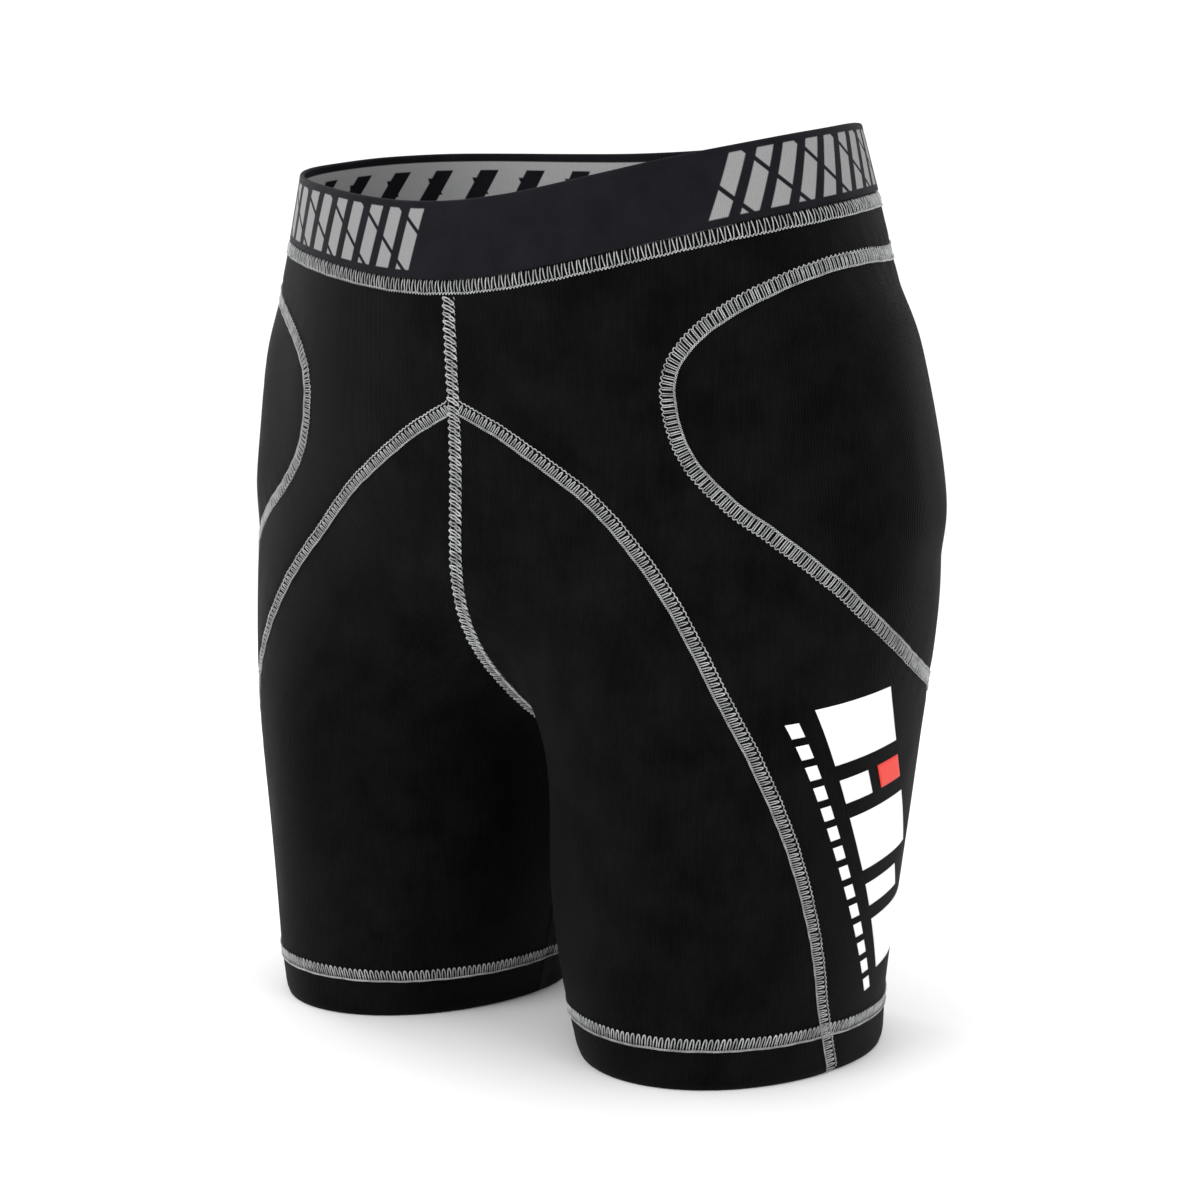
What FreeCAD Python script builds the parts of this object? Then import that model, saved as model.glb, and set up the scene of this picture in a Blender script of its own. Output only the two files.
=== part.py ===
import FreeCAD, Part
import math
import os

# Padded impact shorts: tight knit shorts with a woven elastic waistband, hip and tailbone pads in
# sewn pockets, contrast flatlock seams and a heat-transfer print on the wearer's left thigh.
# Millimetres. +Z is up, the front faces -Y and +X is the wearer's left. Everything is drawn about
# the leg axes and moved at export, so that the origin is in the middle of the whole width and
# depth, at the level of the hem edges.

Vector = FreeCAD.Vector

# ---------------------------------------------------------------- driving dimensions
# The worn outline is a pair of mirrored oval tubes, one for each leg, that run together above the
# crotch. Each station: height, centre out from the middle, half width, centre y, depth in front
# of that centre, depth behind it.
STATIONS = [
    (0, 92, 68, 12, 94, 78),
    (85, 89, 80, 8, 99, 88),
    (165, 86, 92, 6, 101, 100),
    (215, 66, 120, 2, 93, 110),
    (270, 56, 129, -2, 80, 116),
    (340, 52, 119, -5, 81, 110),
    (440, 54, 84, -7, 85, 111),
]
CROTCH_BLEND = 24          # how softly the two tubes meet at the crotch
BODY_BLEND = 88            # and across the hips and belly
BLEND_START = 120
BLEND_RISE = 200

# height at the sides, slope from front to back, dip at both ends, easing of the slope
WAIST_SEAM = (396.3, 29.5, 17.1, 7.6)
WAIST_TOP = (428.3, 26.4, 13.9, 4.1)
BAND_GAP = 0.5              # between the band's lower edge and the panels

FABRIC = 1.0               # knit panels
BAND = 2.2                 # folded elastic
LINING = 0.6
HEM_FOLD = 0.8             # turned-up fabric inside the hem
HEM_FOLD_FOOT = 1          # its height above the hem edge
SEAM_GAP = 0.25            # each panel stops this short of its seam line
LAYER_GAP = 0.4            # between layers that lie on one another
THREAD_WIDTH = 6
THREAD = 0.5
THREAD_LIFT = 0.3          # of a seam's stitching above the fabric
PRINT = 0.15
PRINT_LIFT = 0.3

PAD_EDGE = 3.0             # pad thickness at its rim and over its middle
PAD_MIDDLE = 8.0
PAD_SWELL = 4.0            # how far a pad pushes its panel out
SWELL_END = 1.28           # where that ends, in multiples of the pad's size, and how gently
SWELL_FADE = 0.48
HIP_PAD = (-2, 296, 55, 54)        # centre y, centre z, half length, half height
TAIL_PAD = (0, 336, 33, 44)        # centre x, centre z, half width, half height
PAD_SQUARENESS = 3.0
PAD_SHOULDER = 0.35        # share of a pad's size over which it grows to full thickness
DISH_END = 1.45            # where the lining leaves the panel, and how gently
DISH_FADE = 0.4

# Seam lines on the wearer's left, from guide points that are then laid on the outline.
CROTCH = (0, 10, 140)
YOKE_POINT = (0, -97, 301)         # where both thigh seams meet the front centre seam
TAIL_POINT = (0, 112, 266)         # lower tip of the tailbone panel
THIGH_SEAM = [
    (24, -94, 290), (47, -91, 276), (69, -88, 261), (88, -85, 243), (107, -84, 222),
    (122, -83, 200), (134, -78, 176), (146, -70, 150), (154, -56, 118), (159, -45, 90),
    (161, -34, 60), (160, -25, 30),
]
HIP_SEAM = [
    (126, 76, 380), (148, 48, 378), (160, 20, 373), (162, -10, 369),
    (156, -38, 363), (140, -60, 352), (122, -73, 339), (109, -79, 325), (104, -80, 312),
    (105, -79, 298), (110, -76, 282), (120, -73, 269), (133, -68, 257), (147, -62, 247),
    (161, -53, 235), (171, -44, 225), (178, -31, 213), (181, -11, 200), (180, 14, 187),
    (174, 44, 176), (164, 66, 169),
]
HIP_BACK_TOP = (93, 99, 378)       # where the hip seam's two ends meet the side-back seam
HIP_BACK_FOOT = (148, 82, 165)
SIDE_BACK_SEAM = [
    HIP_BACK_TOP, (104, 102, 340), (115, 101, 300), (127, 98, 260), (138, 92, 215),
    HIP_BACK_FOOT, (145, 80, 120), (141, 77, 70), (135, 77, 30),
]
TAIL_SEAM = [(43, 109, 370), (40, 110, 335), (33, 112, 306), (20, 113, 282)]
INSEAM = [(3, 9, 125), (7, 8, 100), (12, 9, 70), (17, 10, 35)]

SIDE_BACK_ANGLE = 48       # where seams meet the waist, degrees round from the wearer's left
TAIL_ANGLE = 68
FRONT_ANGLE = -90
BACK_ANGLE = 90
THIGH_HEM_ANGLE = -21      # where seams meet the hem, degrees round the leg
SIDE_BACK_HEM_ANGLE = 60
INSEAM_HEM_ANGLE = 180

HEM_STITCH_FOOT = 18.5     # heights of the hem's stitching
HEM_STITCH_TOP = 24.5
CLEAR = 1.5                # between stitching and whatever it stops at
JUNCTION_TRIM = 4.5        # a seam's stitching stops this far from a seam that it meets
WAIST_TRIM = 9.0           # and this far from the waist seam line
LINING_INSET = 5           # of a lining's edge from its panel's seam
BAND_LIFT = 0.4            # of the band's outer face above the panels
JOIN = 0.6                 # overlap where the elastic is joined at the back, inside
JOIN_TURN = 4              # half its width, degrees
JOIN_INSET = 2             # from the band's edges
PAD_LIFT = -FABRIC - LAYER_GAP      # of what lies behind a panel
PAD_RIM = 0.98             # pad's edge, as a share of its size

PRINT_TOP = (-50, 172)     # y and z of the print's upper front corner
PRINT_LEAN = 0.5           # how far it moves back for each millimetre down
PRINT_SLANT = -0.3         # of each block's ends
WHITE_BLOCKS = [           # start and length down the thigh, start and end across it
    (0, 26, 0, 36), (33, 11, 0, 15), (51, 26, 0, 36), (84, 11, 0, 24), (102, 26, 0, 36),
]
ACCENT_BLOCK = (33, 11, 21, 36)
MARK_START = 4             # the column of small marks, down the thigh and across
MARK_PITCH = 9.6
MARK_LENGTH = 6.2
MARK_WIDTH = 4.5
MARK_OFFSET = 7
MARK_COUNT = 14

MIDDLE_Y = 12.3            # from the leg axes' frame to the middle of the whole depth
STITCH_STEP = 9            # between the points that shape a strip of stitching
MIDDLE_HUB = (0, 8, 235)   # inside the hips; the middle line is swept round it
MIDDLE_SWEEP = 160         # degrees each way from straight down
SMALL = 1e-6
STRIDE = 10.0              # of the search for the outline, then halved this many times
HALVINGS = 24
TRACE_POINTS = 160         # steps along a line
RELAX_ROUNDS = 8
SEWING = 0.02

# ---------------------------------------------------------------- worn outline


def natural_spline(heights, values):
    """Second derivatives of the natural cubic spline through the values."""
    count = len(heights)
    lower = [0.0] * count
    right = [0.0] * count
    for i in range(1, count - 1):
        before = heights[i] - heights[i - 1]
        after = heights[i + 1] - heights[i]
        share = before / (before + after)
        divisor = share * lower[i - 1] + 2
        lower[i] = (share - 1) / divisor
        slope = (values[i + 1] - values[i]) / after - (values[i] - values[i - 1]) / before
        right[i] = (6 * slope / (before + after) - share * right[i - 1]) / divisor
    bends = [0.0] * count
    for i in range(count - 2, -1, -1):
        bends[i] = lower[i] * bends[i + 1] + right[i]
    return bends


HEIGHTS = [row[0] for row in STATIONS]
BENDS = [natural_spline(HEIGHTS, [row[k] for row in STATIONS]) for k in range(1, 6)]


def station(z):
    """Leg tube's centre x, half width, centre y, front depth and back depth at a height."""
    z = min(max(z, -20.0), 460.0)
    i = 0
    while i < len(HEIGHTS) - 2 and z > HEIGHTS[i + 1]:
        i += 1
    span = HEIGHTS[i + 1] - HEIGHTS[i]
    a = (HEIGHTS[i + 1] - z) / span
    b = 1 - a
    curve_a = (a * a * a - a) * span * span / 6
    curve_b = (b * b * b - b) * span * span / 6
    low = STATIONS[i]
    high = STATIONS[i + 1]
    return [
        a * low[k + 1] + b * high[k + 1] + curve_a * BENDS[k][i] + curve_b * BENDS[k][i + 1]
        for k in range(5)
    ]


def tube_distance(x, y, section):
    centre, half_width, centre_y, front, back = section
    depth = front if y < centre_y else back
    u = (x - centre) / half_width
    v = (y - centre_y) / depth
    ratio = math.hypot(u, v) + SMALL
    return ratio * (ratio - 1) / (math.hypot(u / half_width, v / depth) + SMALL)


def ease(value):
    value = min(max(value, 0.0), 1.0)
    return value * value * (3 - 2 * value)


def pad_reach(across, z, pad):
    """1 on a pad's rim, less inside it."""
    u = abs(across - pad[0]) / pad[2]
    v = abs(z - pad[1]) / pad[3]
    return (u ** PAD_SQUARENESS + v ** PAD_SQUARENESS) ** (1 / PAD_SQUARENESS)


def hip_reach(x, y, z):
    return pad_reach(y, z, HIP_PAD) if abs(x) > 60 else 9.0


def tail_reach(x, y, z):
    return pad_reach(x, z, TAIL_PAD) if y > 0 else 9.0


def distance(x, y, z):
    """Distance outside the worn outline, less than 0 inside it."""
    section = station(z)
    near = tube_distance(x, y, section)
    far = tube_distance(-x, y, section)
    blend = CROTCH_BLEND + (BODY_BLEND - CROTCH_BLEND) * ease((z - BLEND_START) / BLEND_RISE)
    mix = min(max(0.5 + 0.5 * (far - near) / blend, 0.0), 1.0)
    joined = far * (1 - mix) + near * mix - blend * mix * (1 - mix)
    reach = min(hip_reach(x, y, z), tail_reach(x, y, z))
    return joined - PAD_SWELL * ease((SWELL_END - reach) / SWELL_FADE)


def slope_at(p):
    step = 0.5
    return Vector(
        distance(p.x + step, p.y, p.z) - distance(p.x - step, p.y, p.z),
        distance(p.x, p.y + step, p.z) - distance(p.x, p.y - step, p.z),
        distance(p.x, p.y, p.z + step) - distance(p.x, p.y, p.z - step),
    ) * (0.5 / step)


def normal_at(p):
    return slope_at(p).normalize()


def snap(p):
    """Moves a point onto the worn outline."""
    for _ in range(4):
        slope = slope_at(p)
        p = p - slope * (distance(p.x, p.y, p.z) / max(slope.dot(slope), SMALL))
    return p


# ---------------------------------------------------------------- lines on the outline


def catmull(points, t):
    """Smooth curve through points at t, which counts points from 0."""
    i = min(max(int(t), 0), len(points) - 2)
    t -= i
    b = points[i]
    c = points[i + 1]
    a = points[i - 1] if i > 0 else b * 2 - c
    d = points[i + 2] if i + 2 < len(points) else c * 2 - b
    return (
        b * 2 + (c - a) * t + (a * 2 - b * 5 + c * 4 - d) * t * t
        + (b * 3 - a - c * 3 + d) * t * t * t
    ) * 0.5


def spread(points, count):
    """The same line with count points at even steps along it."""
    lengths = [0.0]
    for a, b in zip(points, points[1:]):
        lengths.append(lengths[-1] + (b - a).Length)
    even = []
    i = 0
    for k in range(count):
        target = lengths[-1] * k / (count - 1)
        while i < len(points) - 2 and lengths[i + 1] < target:
            i += 1
        share = (target - lengths[i]) / max(lengths[i + 1] - lengths[i], SMALL)
        even.append(points[i] + (points[i + 1] - points[i]) * share)
    return even


def trace(start, guides, end):
    """Dense even line on the outline from start through guide points to end."""
    points = [start] + [snap(Vector(*guide)) for guide in guides] + [end]
    last = len(points) - 1
    line = [snap(catmull(points, last * k / TRACE_POINTS)) for k in range(TRACE_POINTS + 1)]
    line[0] = start
    line[-1] = end
    return spread(line, TRACE_POINTS + 1)


def march(start, way):
    """First point on the outline from a start inside it."""
    high = STRIDE
    while distance(*(start + way * high)) < 0:
        high += STRIDE
    low = high - STRIDE
    for _ in range(HALVINGS):
        reach = (low + high) / 2
        if distance(*(start + way * reach)) < 0:
            low = reach
        else:
            high = reach
    return start + way * low


def waist_height(angle, level):
    middle, rise, dip, ease = level
    turn = math.sin(math.radians(angle))
    return middle + turn * (rise - turn * (dip + ease * turn))


def ray_out(axis, angle, z):
    """Point on the outline straight out from an upright axis."""
    way = Vector(math.cos(math.radians(angle)), math.sin(math.radians(angle)), 0)
    return march(Vector(axis.x, axis.y, z), way)


BODY_AXIS = Vector(0, 0, 0)
LEG_AXIS = Vector(STATIONS[0][1], STATIONS[0][3], 0)


def waist_line(level, start, end, shift=0.0):
    steps = TRACE_POINTS
    line = []
    for k in range(steps + 1):
        angle = start + (end - start) * k / steps
        line.append(ray_out(BODY_AXIS, angle, waist_height(angle, level) + shift))
    return line


def leg_line(z, start, end):
    steps = TRACE_POINTS
    return [ray_out(LEG_AXIS, start + (end - start) * k / steps, z) for k in range(steps + 1)]


def middle_line():
    """The outline's section in the middle plane, from front waist under the crotch to the back."""
    line = []
    for k in range(2 * TRACE_POINTS + 1):
        turn = math.radians(MIDDLE_SWEEP * (k / TRACE_POINTS - 1))
        line.append(march(Vector(*MIDDLE_HUB), Vector(0, math.sin(turn), -math.cos(turn))))
    return line


def part_of(line, start, end):
    """Stretch of a line between the places nearest to two points."""
    i = min(range(len(line)), key=lambda k: (line[k] - start).Length)
    j = min(range(len(line)), key=lambda k: (line[k] - end).Length)
    piece = line[i:j + 1] if i <= j else line[j:i + 1][::-1]
    return [start] + piece[1:-1] + [end]


def shifted(line, amount):
    """Line moved sideways on the outline, to the left of its way when seen from outside."""
    if not amount:
        return list(line)
    moved = []
    for k, p in enumerate(line):
        way = line[min(k + 1, len(line) - 1)] - line[max(k - 1, 0)]
        side = normal_at(p).cross(way).normalize()
        moved.append(snap(p + side * amount))
    return moved


def inset(loop, gaps):
    """Loop of lines, anticlockwise from outside, with each moved inwards by its gap."""
    sides = [shifted(line, gap) for line, gap in zip(loop, gaps)]
    for k in range(len(loop)):
        corner = loop[k][0]
        moved = sides[k - 1][-1] + sides[k][0] - corner
        if corner.z == 0:
            moved.z = 0
        else:
            moved = snap(moved)
        sides[k - 1][-1] = moved
        sides[k][0] = moved
    return sides


# ---------------------------------------------------------------- patches


def bilinear(sides, s, t):
    """Coons blend of four sides given as bottom, right, top, left grids."""
    bottom, right, top, left = sides
    m = len(bottom) - 1
    n = len(left) - 1
    u = s / m
    v = t / n
    edge = bottom[s] * (1 - v) + top[s] * v + left[t] * (1 - u) + right[t] * u
    corners = (
        bottom[0] * ((1 - u) * (1 - v)) + bottom[m] * (u * (1 - v))
        + top[0] * ((1 - u) * v) + top[m] * (u * v)
    )
    return edge - corners


def patch(a_to_b, b_to_c, c_to_d, d_to_a, across, along):
    """Grid of points on the outline inside a loop of four lines, across by along."""
    bottom = spread(a_to_b, across)
    right = spread(b_to_c, along)
    top = spread(c_to_d, across)[::-1]
    left = spread(d_to_a, along)[::-1]
    sides = (bottom, right, top, left)
    grid = [[bilinear(sides, s, t) for t in range(along)] for s in range(across)]
    for _ in range(RELAX_ROUNDS):
        for s in range(1, across - 1):
            for t in range(1, along - 1):
                ring = grid[s - 1][t] + grid[s + 1][t] + grid[s][t - 1] + grid[s][t + 1]
                p = ring * 0.25
                slope = slope_at(p)
                pull = distance(p.x, p.y, p.z) / max(slope.dot(slope), SMALL)
                grid[s][t] = p - slope * pull
    for s in range(1, across - 1):
        for t in range(1, along - 1):
            grid[s][t] = snap(grid[s][t])
    return grid


def straight(a, b, steps=40):
    """Line between two points, laid on the outline."""
    line = [snap(a + (b - a) * (k / steps)) for k in range(steps + 1)]
    line[0] = a
    line[-1] = b
    return line


def ring_patches(lines, across, along):
    """Patches between pairs of lines that run side by side round a closed ring."""
    grids = []
    for low, high in lines:
        low_end = straight(low[-1], high[-1], 6)
        high_end = straight(high[0], low[0], 6)
        grids.append(patch(low, low_end, high[::-1], high_end, along, across))
    return grids


def o_grid(sides, counts, share=0.5):
    """Five patches that fill a loop of four lines whose corners may be smooth."""
    corners = [side[0] for side in sides]
    centre = (corners[0] + corners[1] + corners[2] + corners[3]) * 0.25
    inner = [snap(centre + (corner - centre) * share) for corner in corners]
    bridges = [straight(corners[k], inner[k]) for k in range(4)]
    grids = []
    cores = []
    for k in range(4):
        after = (k + 1) % 4
        core = straight(inner[k], inner[after])
        cores.append(core)
        grids.append(patch(sides[k], bridges[after], core[::-1], bridges[k][::-1], counts[k % 2], 5))
    grids.append(patch(cores[0], cores[1], cores[2], cores[3], counts[0], counts[1]))
    return grids


# ---------------------------------------------------------------- solids


def curve_poles(points):
    """Bezier poles of the smooth curve through evenly numbered points."""
    poles = []
    last = len(points) - 1
    for i in range(last):
        a = points[i]
        b = points[i + 1]
        start = (points[i + 1] - points[i - 1]) * 0.5 if i else b - a
        end = (points[i + 2] - points[i]) * 0.5 if i + 1 < last else b - a
        poles += [a + start * (1 / 3), b - end * (1 / 3)]
    return [points[0]] + poles + [points[last]]


def surface_face(grid):
    """Cubic surface through a grid; a side depends only on that side's own points."""
    columns = [curve_poles(column) for column in grid]
    poles = [curve_poles(list(row)) for row in zip(*columns)]
    surface = Part.BSplineSurface()
    u_spans = len(poles[0]) // 2 - 1
    v_spans = len(poles) // 2 - 1
    rows = [list(row) for row in zip(*poles)]
    surface.buildFromPolesMultsKnots(
        rows,
        [4] + [2] * (u_spans - 1) + [4],
        [4] + [2] * (v_spans - 1) + [4],
        [float(k) for k in range(u_spans + 1)],
        [float(k) for k in range(v_spans + 1)],
        False, False, 3, 3,
    )
    return surface.toShape()


def side_curve(points):
    poles = curve_poles(points)
    spans = len(poles) // 2 - 1
    curve = Part.BSplineCurve()
    mults = [4] + [2] * (spans - 1) + [4]
    curve.buildFromPolesMultsKnots(poles, mults, [float(k) for k in range(spans + 1)], False, 3)
    return curve.toShape()


def grid_sides(grid):
    return [grid[0], grid[-1], [column[0] for column in grid], [column[-1] for column in grid]]


def side_key(points):
    middle = points[len(points) // 2] + points[(len(points) - 1) // 2]
    return tuple(round(value, 2) for value in middle)


def way_out(p):
    """Way that a sheet's thickness runs at a point: level along the hem, so that its edge is flat."""
    way = slope_at(p)
    if p.z == 0:
        way.z = 0
    return way.normalize()


def wall_face(top, base):
    """Face across a sheet's thickness, plane where the sheet ends at the hem."""
    upper = side_curve(top)
    lower = side_curve(base)
    if any(p.z for p in top + base):
        return Part.makeRuledSurface(upper, lower)
    ends = [Part.makeLine(top[0], base[0]), Part.makeLine(top[-1], base[-1])]
    return Part.Face(Part.Wire(Part.__sortEdges__([upper, lower] + ends)))


def sheet_solid(grids, outer, inner):
    """Closed solid between two offsets of the patches; outer and inner give them at a point."""
    faces = []
    walls = {}
    for grid in grids:
        normals = [[way_out(p) for p in column] for column in grid]
        tops = [
            [p + n * outer(p) for p, n in zip(column, turns)] for column, turns in zip(grid, normals)
        ]
        bases = [
            [p + n * inner(p) for p, n in zip(column, turns)] for column, turns in zip(grid, normals)
        ]
        faces += [surface_face(tops), surface_face(bases)]
        for flat, top, base in zip(grid_sides(grid), grid_sides(tops), grid_sides(bases)):
            walls.setdefault(side_key(flat), []).append((top, base))
    for sides in walls.values():
        if len(sides) == 1:
            faces.append(wall_face(*sides[0]))
    shell = Part.Compound(faces)
    shell.sewShape(SEWING)
    solid = Part.Solid(shell.Shells[0])
    if solid.Volume < 0:
        solid.reverse()
    return solid


def level(value):
    return lambda p: value


def sheet(grids, outer, thickness):
    return sheet_solid(grids, level(outer), level(outer - thickness))


def flip(shape):
    """The same piece on the wearer's other side."""
    return shape.mirror(Vector(0, 0, 0), Vector(1, 0, 0))


def flip_line(line):
    return [Vector(-p.x, p.y, p.z) for p in line]


def flip_grid(grid):
    return [flip_line(column) for column in grid]


# ---------------------------------------------------------------- seam lines


def waist_point(angle, level_at):
    return ray_out(BODY_AXIS, angle, waist_height(angle, level_at))


YOKE = snap(Vector(*YOKE_POINT))
FORK = snap(Vector(*CROTCH))
TAIL_TIP = snap(Vector(*TAIL_POINT))
MIDDLE = middle_line()
FRONT_TOP = waist_point(FRONT_ANGLE, WAIST_SEAM)
BACK_TOP = waist_point(BACK_ANGLE, WAIST_SEAM)
SIDE_TOP = waist_point(SIDE_BACK_ANGLE, WAIST_SEAM)
TAIL_TOP = waist_point(TAIL_ANGLE, WAIST_SEAM)
THIGH_FOOT = ray_out(LEG_AXIS, THIGH_HEM_ANGLE, 0)
SIDE_FOOT = ray_out(LEG_AXIS, SIDE_BACK_HEM_ANGLE, 0)
INSEAM_FOOT = ray_out(LEG_AXIS, INSEAM_HEM_ANGLE, 0)

FRONT_SEAM = part_of(MIDDLE, FRONT_TOP, YOKE)
UNDER_SEAM = part_of(MIDDLE, YOKE, FORK)
SEAT_SEAM = part_of(MIDDLE, FORK, TAIL_TIP)
THIGH = trace(YOKE, THIGH_SEAM, THIGH_FOOT)
SIDE_BACK = trace(SIDE_TOP, SIDE_BACK_SEAM, SIDE_FOOT)
HIP_TOP_END = snap(Vector(*HIP_BACK_TOP))
HIP_FOOT_END = snap(Vector(*HIP_BACK_FOOT))
HIP = trace(HIP_TOP_END, HIP_SEAM, HIP_FOOT_END)
TAIL = trace(TAIL_TOP, TAIL_SEAM, TAIL_TIP)
INNER = trace(FORK, INSEAM, INSEAM_FOOT)


def near(line, height):
    """First point of a line at a height."""
    for a, b in zip(line, line[1:]):
        if (a.z - height) * (b.z - height) <= 0:
            return a
    return line[-1]


def nearest(line, target):
    return min(line, key=lambda p: (p - Vector(*target)).Length)


# ---------------------------------------------------------------- pieces


def front_side_panel():
    """Runs from the front centre over the hip pocket and down the outside of the leg."""
    waist_corner = -48
    hem_corner = 12
    hip_high = nearest(HIP, (107, -80, 326))
    hip_low = nearest(HIP, (114, -75, 274))
    thigh_turn = nearest(THIGH, (64, -89, 265))
    loop = [
        waist_line(WAIST_SEAM, SIDE_BACK_ANGLE, waist_corner),
        waist_line(WAIST_SEAM, waist_corner, FRONT_ANGLE),
        FRONT_SEAM,
        part_of(THIGH, YOKE, thigh_turn),
        part_of(THIGH, thigh_turn, THIGH_FOOT),
        leg_line(0, THIGH_HEM_ANGLE, hem_corner),
        leg_line(0, hem_corner, SIDE_BACK_HEM_ANGLE),
        part_of(SIDE_BACK, SIDE_FOOT, HIP_FOOT_END),
        part_of(HIP, HIP_FOOT_END, hip_low),
        part_of(HIP, hip_low, hip_high),
        part_of(HIP, hip_high, HIP_TOP_END),
        part_of(SIDE_BACK, HIP_TOP_END, SIDE_TOP),
    ]
    gaps = [BAND_GAP, BAND_GAP] + [SEAM_GAP] * 3 + [0, 0] + [SEAM_GAP] * 5
    (over_hip, over_front, centre, yoke_side, thigh, hem_front, hem_side, back_low, hip_foot,
     hip_front, hip_top, back_high) = inset(loop, gaps)
    cut_waist = straight(over_front[0], hip_top[0])
    cut_yoke = straight(hip_top[0], yoke_side[0])
    cut_low = straight(hip_front[0], thigh[0])
    cut_leg = straight(hip_front[0], hem_side[0])
    return [
        patch(over_hip, cut_waist, hip_top, back_high, 22, 6),
        patch(over_front, centre, cut_yoke[::-1], cut_waist[::-1], 9, 6),
        patch(cut_yoke, yoke_side, cut_low[::-1], hip_front, 9, 7),
        patch(cut_low, thigh, hem_front, cut_leg[::-1], 9, 22),
        patch(hip_foot, cut_leg, hem_side, back_low, 16, 22),
    ]


def hip_sides(gap):
    """The hip pocket's outline as four lines, moved in by a gap."""
    top = nearest(HIP, (150, -46, 360))
    low = nearest(HIP, (161, -53, 235))
    loop = [
        part_of(HIP, HIP_TOP_END, top),
        part_of(HIP, top, low),
        part_of(HIP, low, HIP_FOOT_END),
        part_of(SIDE_BACK, HIP_FOOT_END, HIP_TOP_END),
    ]
    return inset(loop, [gap] * 4)


def front_thigh_panel():
    loop = [
        UNDER_SEAM,
        INNER,
        leg_line(0, INSEAM_HEM_ANGLE, 360 + THIGH_HEM_ANGLE),
        THIGH[::-1],
    ]
    under, inner, hem, thigh = inset(loop, [SEAM_GAP, SEAM_GAP, 0, SEAM_GAP])
    return [patch(under, inner, hem, thigh, 18, 24)]


def back_panel():
    """Seat and back of the leg in one piece."""
    seat_turn = near(SIDE_BACK, 260)
    thigh_turn = near(SIDE_BACK, 160)
    loop = [
        waist_line(WAIST_SEAM, TAIL_ANGLE, SIDE_BACK_ANGLE),
        part_of(SIDE_BACK, SIDE_TOP, seat_turn),
        part_of(SIDE_BACK, seat_turn, thigh_turn),
        part_of(SIDE_BACK, thigh_turn, SIDE_FOOT),
        leg_line(0, SIDE_BACK_HEM_ANGLE, INSEAM_HEM_ANGLE),
        INNER[::-1],
        SEAT_SEAM,
        TAIL[::-1],
    ]
    gaps = [BAND_GAP, SEAM_GAP, SEAM_GAP, SEAM_GAP, 0, SEAM_GAP, SEAM_GAP, SEAM_GAP]
    waist, high, middle, low, hem, inner, seat, tail = inset(loop, gaps)
    cut_seat = straight(seat[-1], middle[0])
    cut_thigh = straight(inner[-1], low[0])
    return [
        patch(waist, high, cut_seat[::-1], tail, 12, 14),
        patch(cut_seat, middle, cut_thigh[::-1], seat, 12, 14),
        patch(cut_thigh, low, hem, inner, 12, 16),
    ]


def tail_sides(gap):
    """Half of the shield-shaped tailbone panel's outline, from the waist round to the middle."""
    shoulder = near(TAIL, 312)
    loop = [
        waist_line(WAIST_SEAM, BACK_ANGLE, TAIL_ANGLE),
        part_of(TAIL, TAIL_TOP, shoulder),
        part_of(TAIL, shoulder, TAIL_TIP),
        part_of(MIDDLE, TAIL_TIP, BACK_TOP),
    ]
    sides = inset(loop, [gap, gap, gap, 0])
    for corner in (sides[0][0], sides[2][-1]):
        corner.x = 0
    return sides


def tail_grids(gap):
    """Both halves of the tailbone panel, cut as one."""
    half = patch(*tail_sides(gap), 7, 13)
    return [half, flip_grid(half)]


def ring(low_line, high_line):
    """Closed ring between two lines that are given by their start and end angles."""
    quarters = [(FRONT_ANGLE + 90 * k, FRONT_ANGLE + 90 * (k + 1)) for k in range(4)]
    pairs = [(low_line(a, b), high_line(a, b)) for a, b in quarters]
    return ring_patches(pairs, 4, 18)


def waist_ring(low, low_shift, high, high_shift):
    return ring(
        lambda a, b: waist_line(low, a, b, low_shift),
        lambda a, b: waist_line(high, a, b, high_shift),
    )


def leg_ring(low, high):
    return ring(lambda a, b: leg_line(low, a, b), lambda a, b: leg_line(high, a, b))


def trimmed(line, start, end):
    """Line without its first and last stretches."""
    lengths = [0.0]
    for a, b in zip(line, line[1:]):
        lengths.append(lengths[-1] + (b - a).Length)
    return [p for p, reach in zip(line, lengths) if start <= reach <= lengths[-1] - end]


def stitching(line):
    """Strip of flatlock thread centred on a line."""
    low = shifted(line, -THREAD_WIDTH / 2)
    high = shifted(line, THREAD_WIDTH / 2)
    length = sum((b - a).Length for a, b in zip(line, line[1:]))
    count = max(int(length / STITCH_STEP), 5)
    low_end = straight(low[-1], high[-1], 6)
    high_end = straight(high[0], low[0], 6)
    return thread([patch(low, low_end, high[::-1], high_end, count, 3)])


def down_leg(line):
    """Stitching of a seam that runs down to the hem, in two lengths beside the hem's own."""
    above = part_of(line, line[0], near(line, HEM_STITCH_TOP + CLEAR))
    below = part_of(line, near(line, HEM_STITCH_FOOT - CLEAR), near(line, CLEAR))
    return above, below


def thread(grids):
    return sheet(grids, THREAD_LIFT + THREAD, THREAD)


def on_side(y, z):
    return march(Vector(90, y, z), Vector(1, 0, 0))


def on_back(x, z):
    return march(Vector(x, 0, z), Vector(0, 1, 0))


def pad_outline(pad, place, scale):
    """Four lines round a pad, laid on the outline."""
    lines = []
    for k in range(4):
        line = []
        for step in range(41):
            turn = math.radians(-135 + 90 * (k + step / 40))
            c = math.cos(turn)
            s = math.sin(turn)
            power = (abs(c) ** PAD_SQUARENESS + abs(s) ** PAD_SQUARENESS) ** (1 / PAD_SQUARENESS)
            across = pad[0] + scale * pad[2] * c / power
            up = pad[1] + scale * pad[3] * s / power
            line.append(place(across, up))
        lines.append(line)
    return lines


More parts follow.
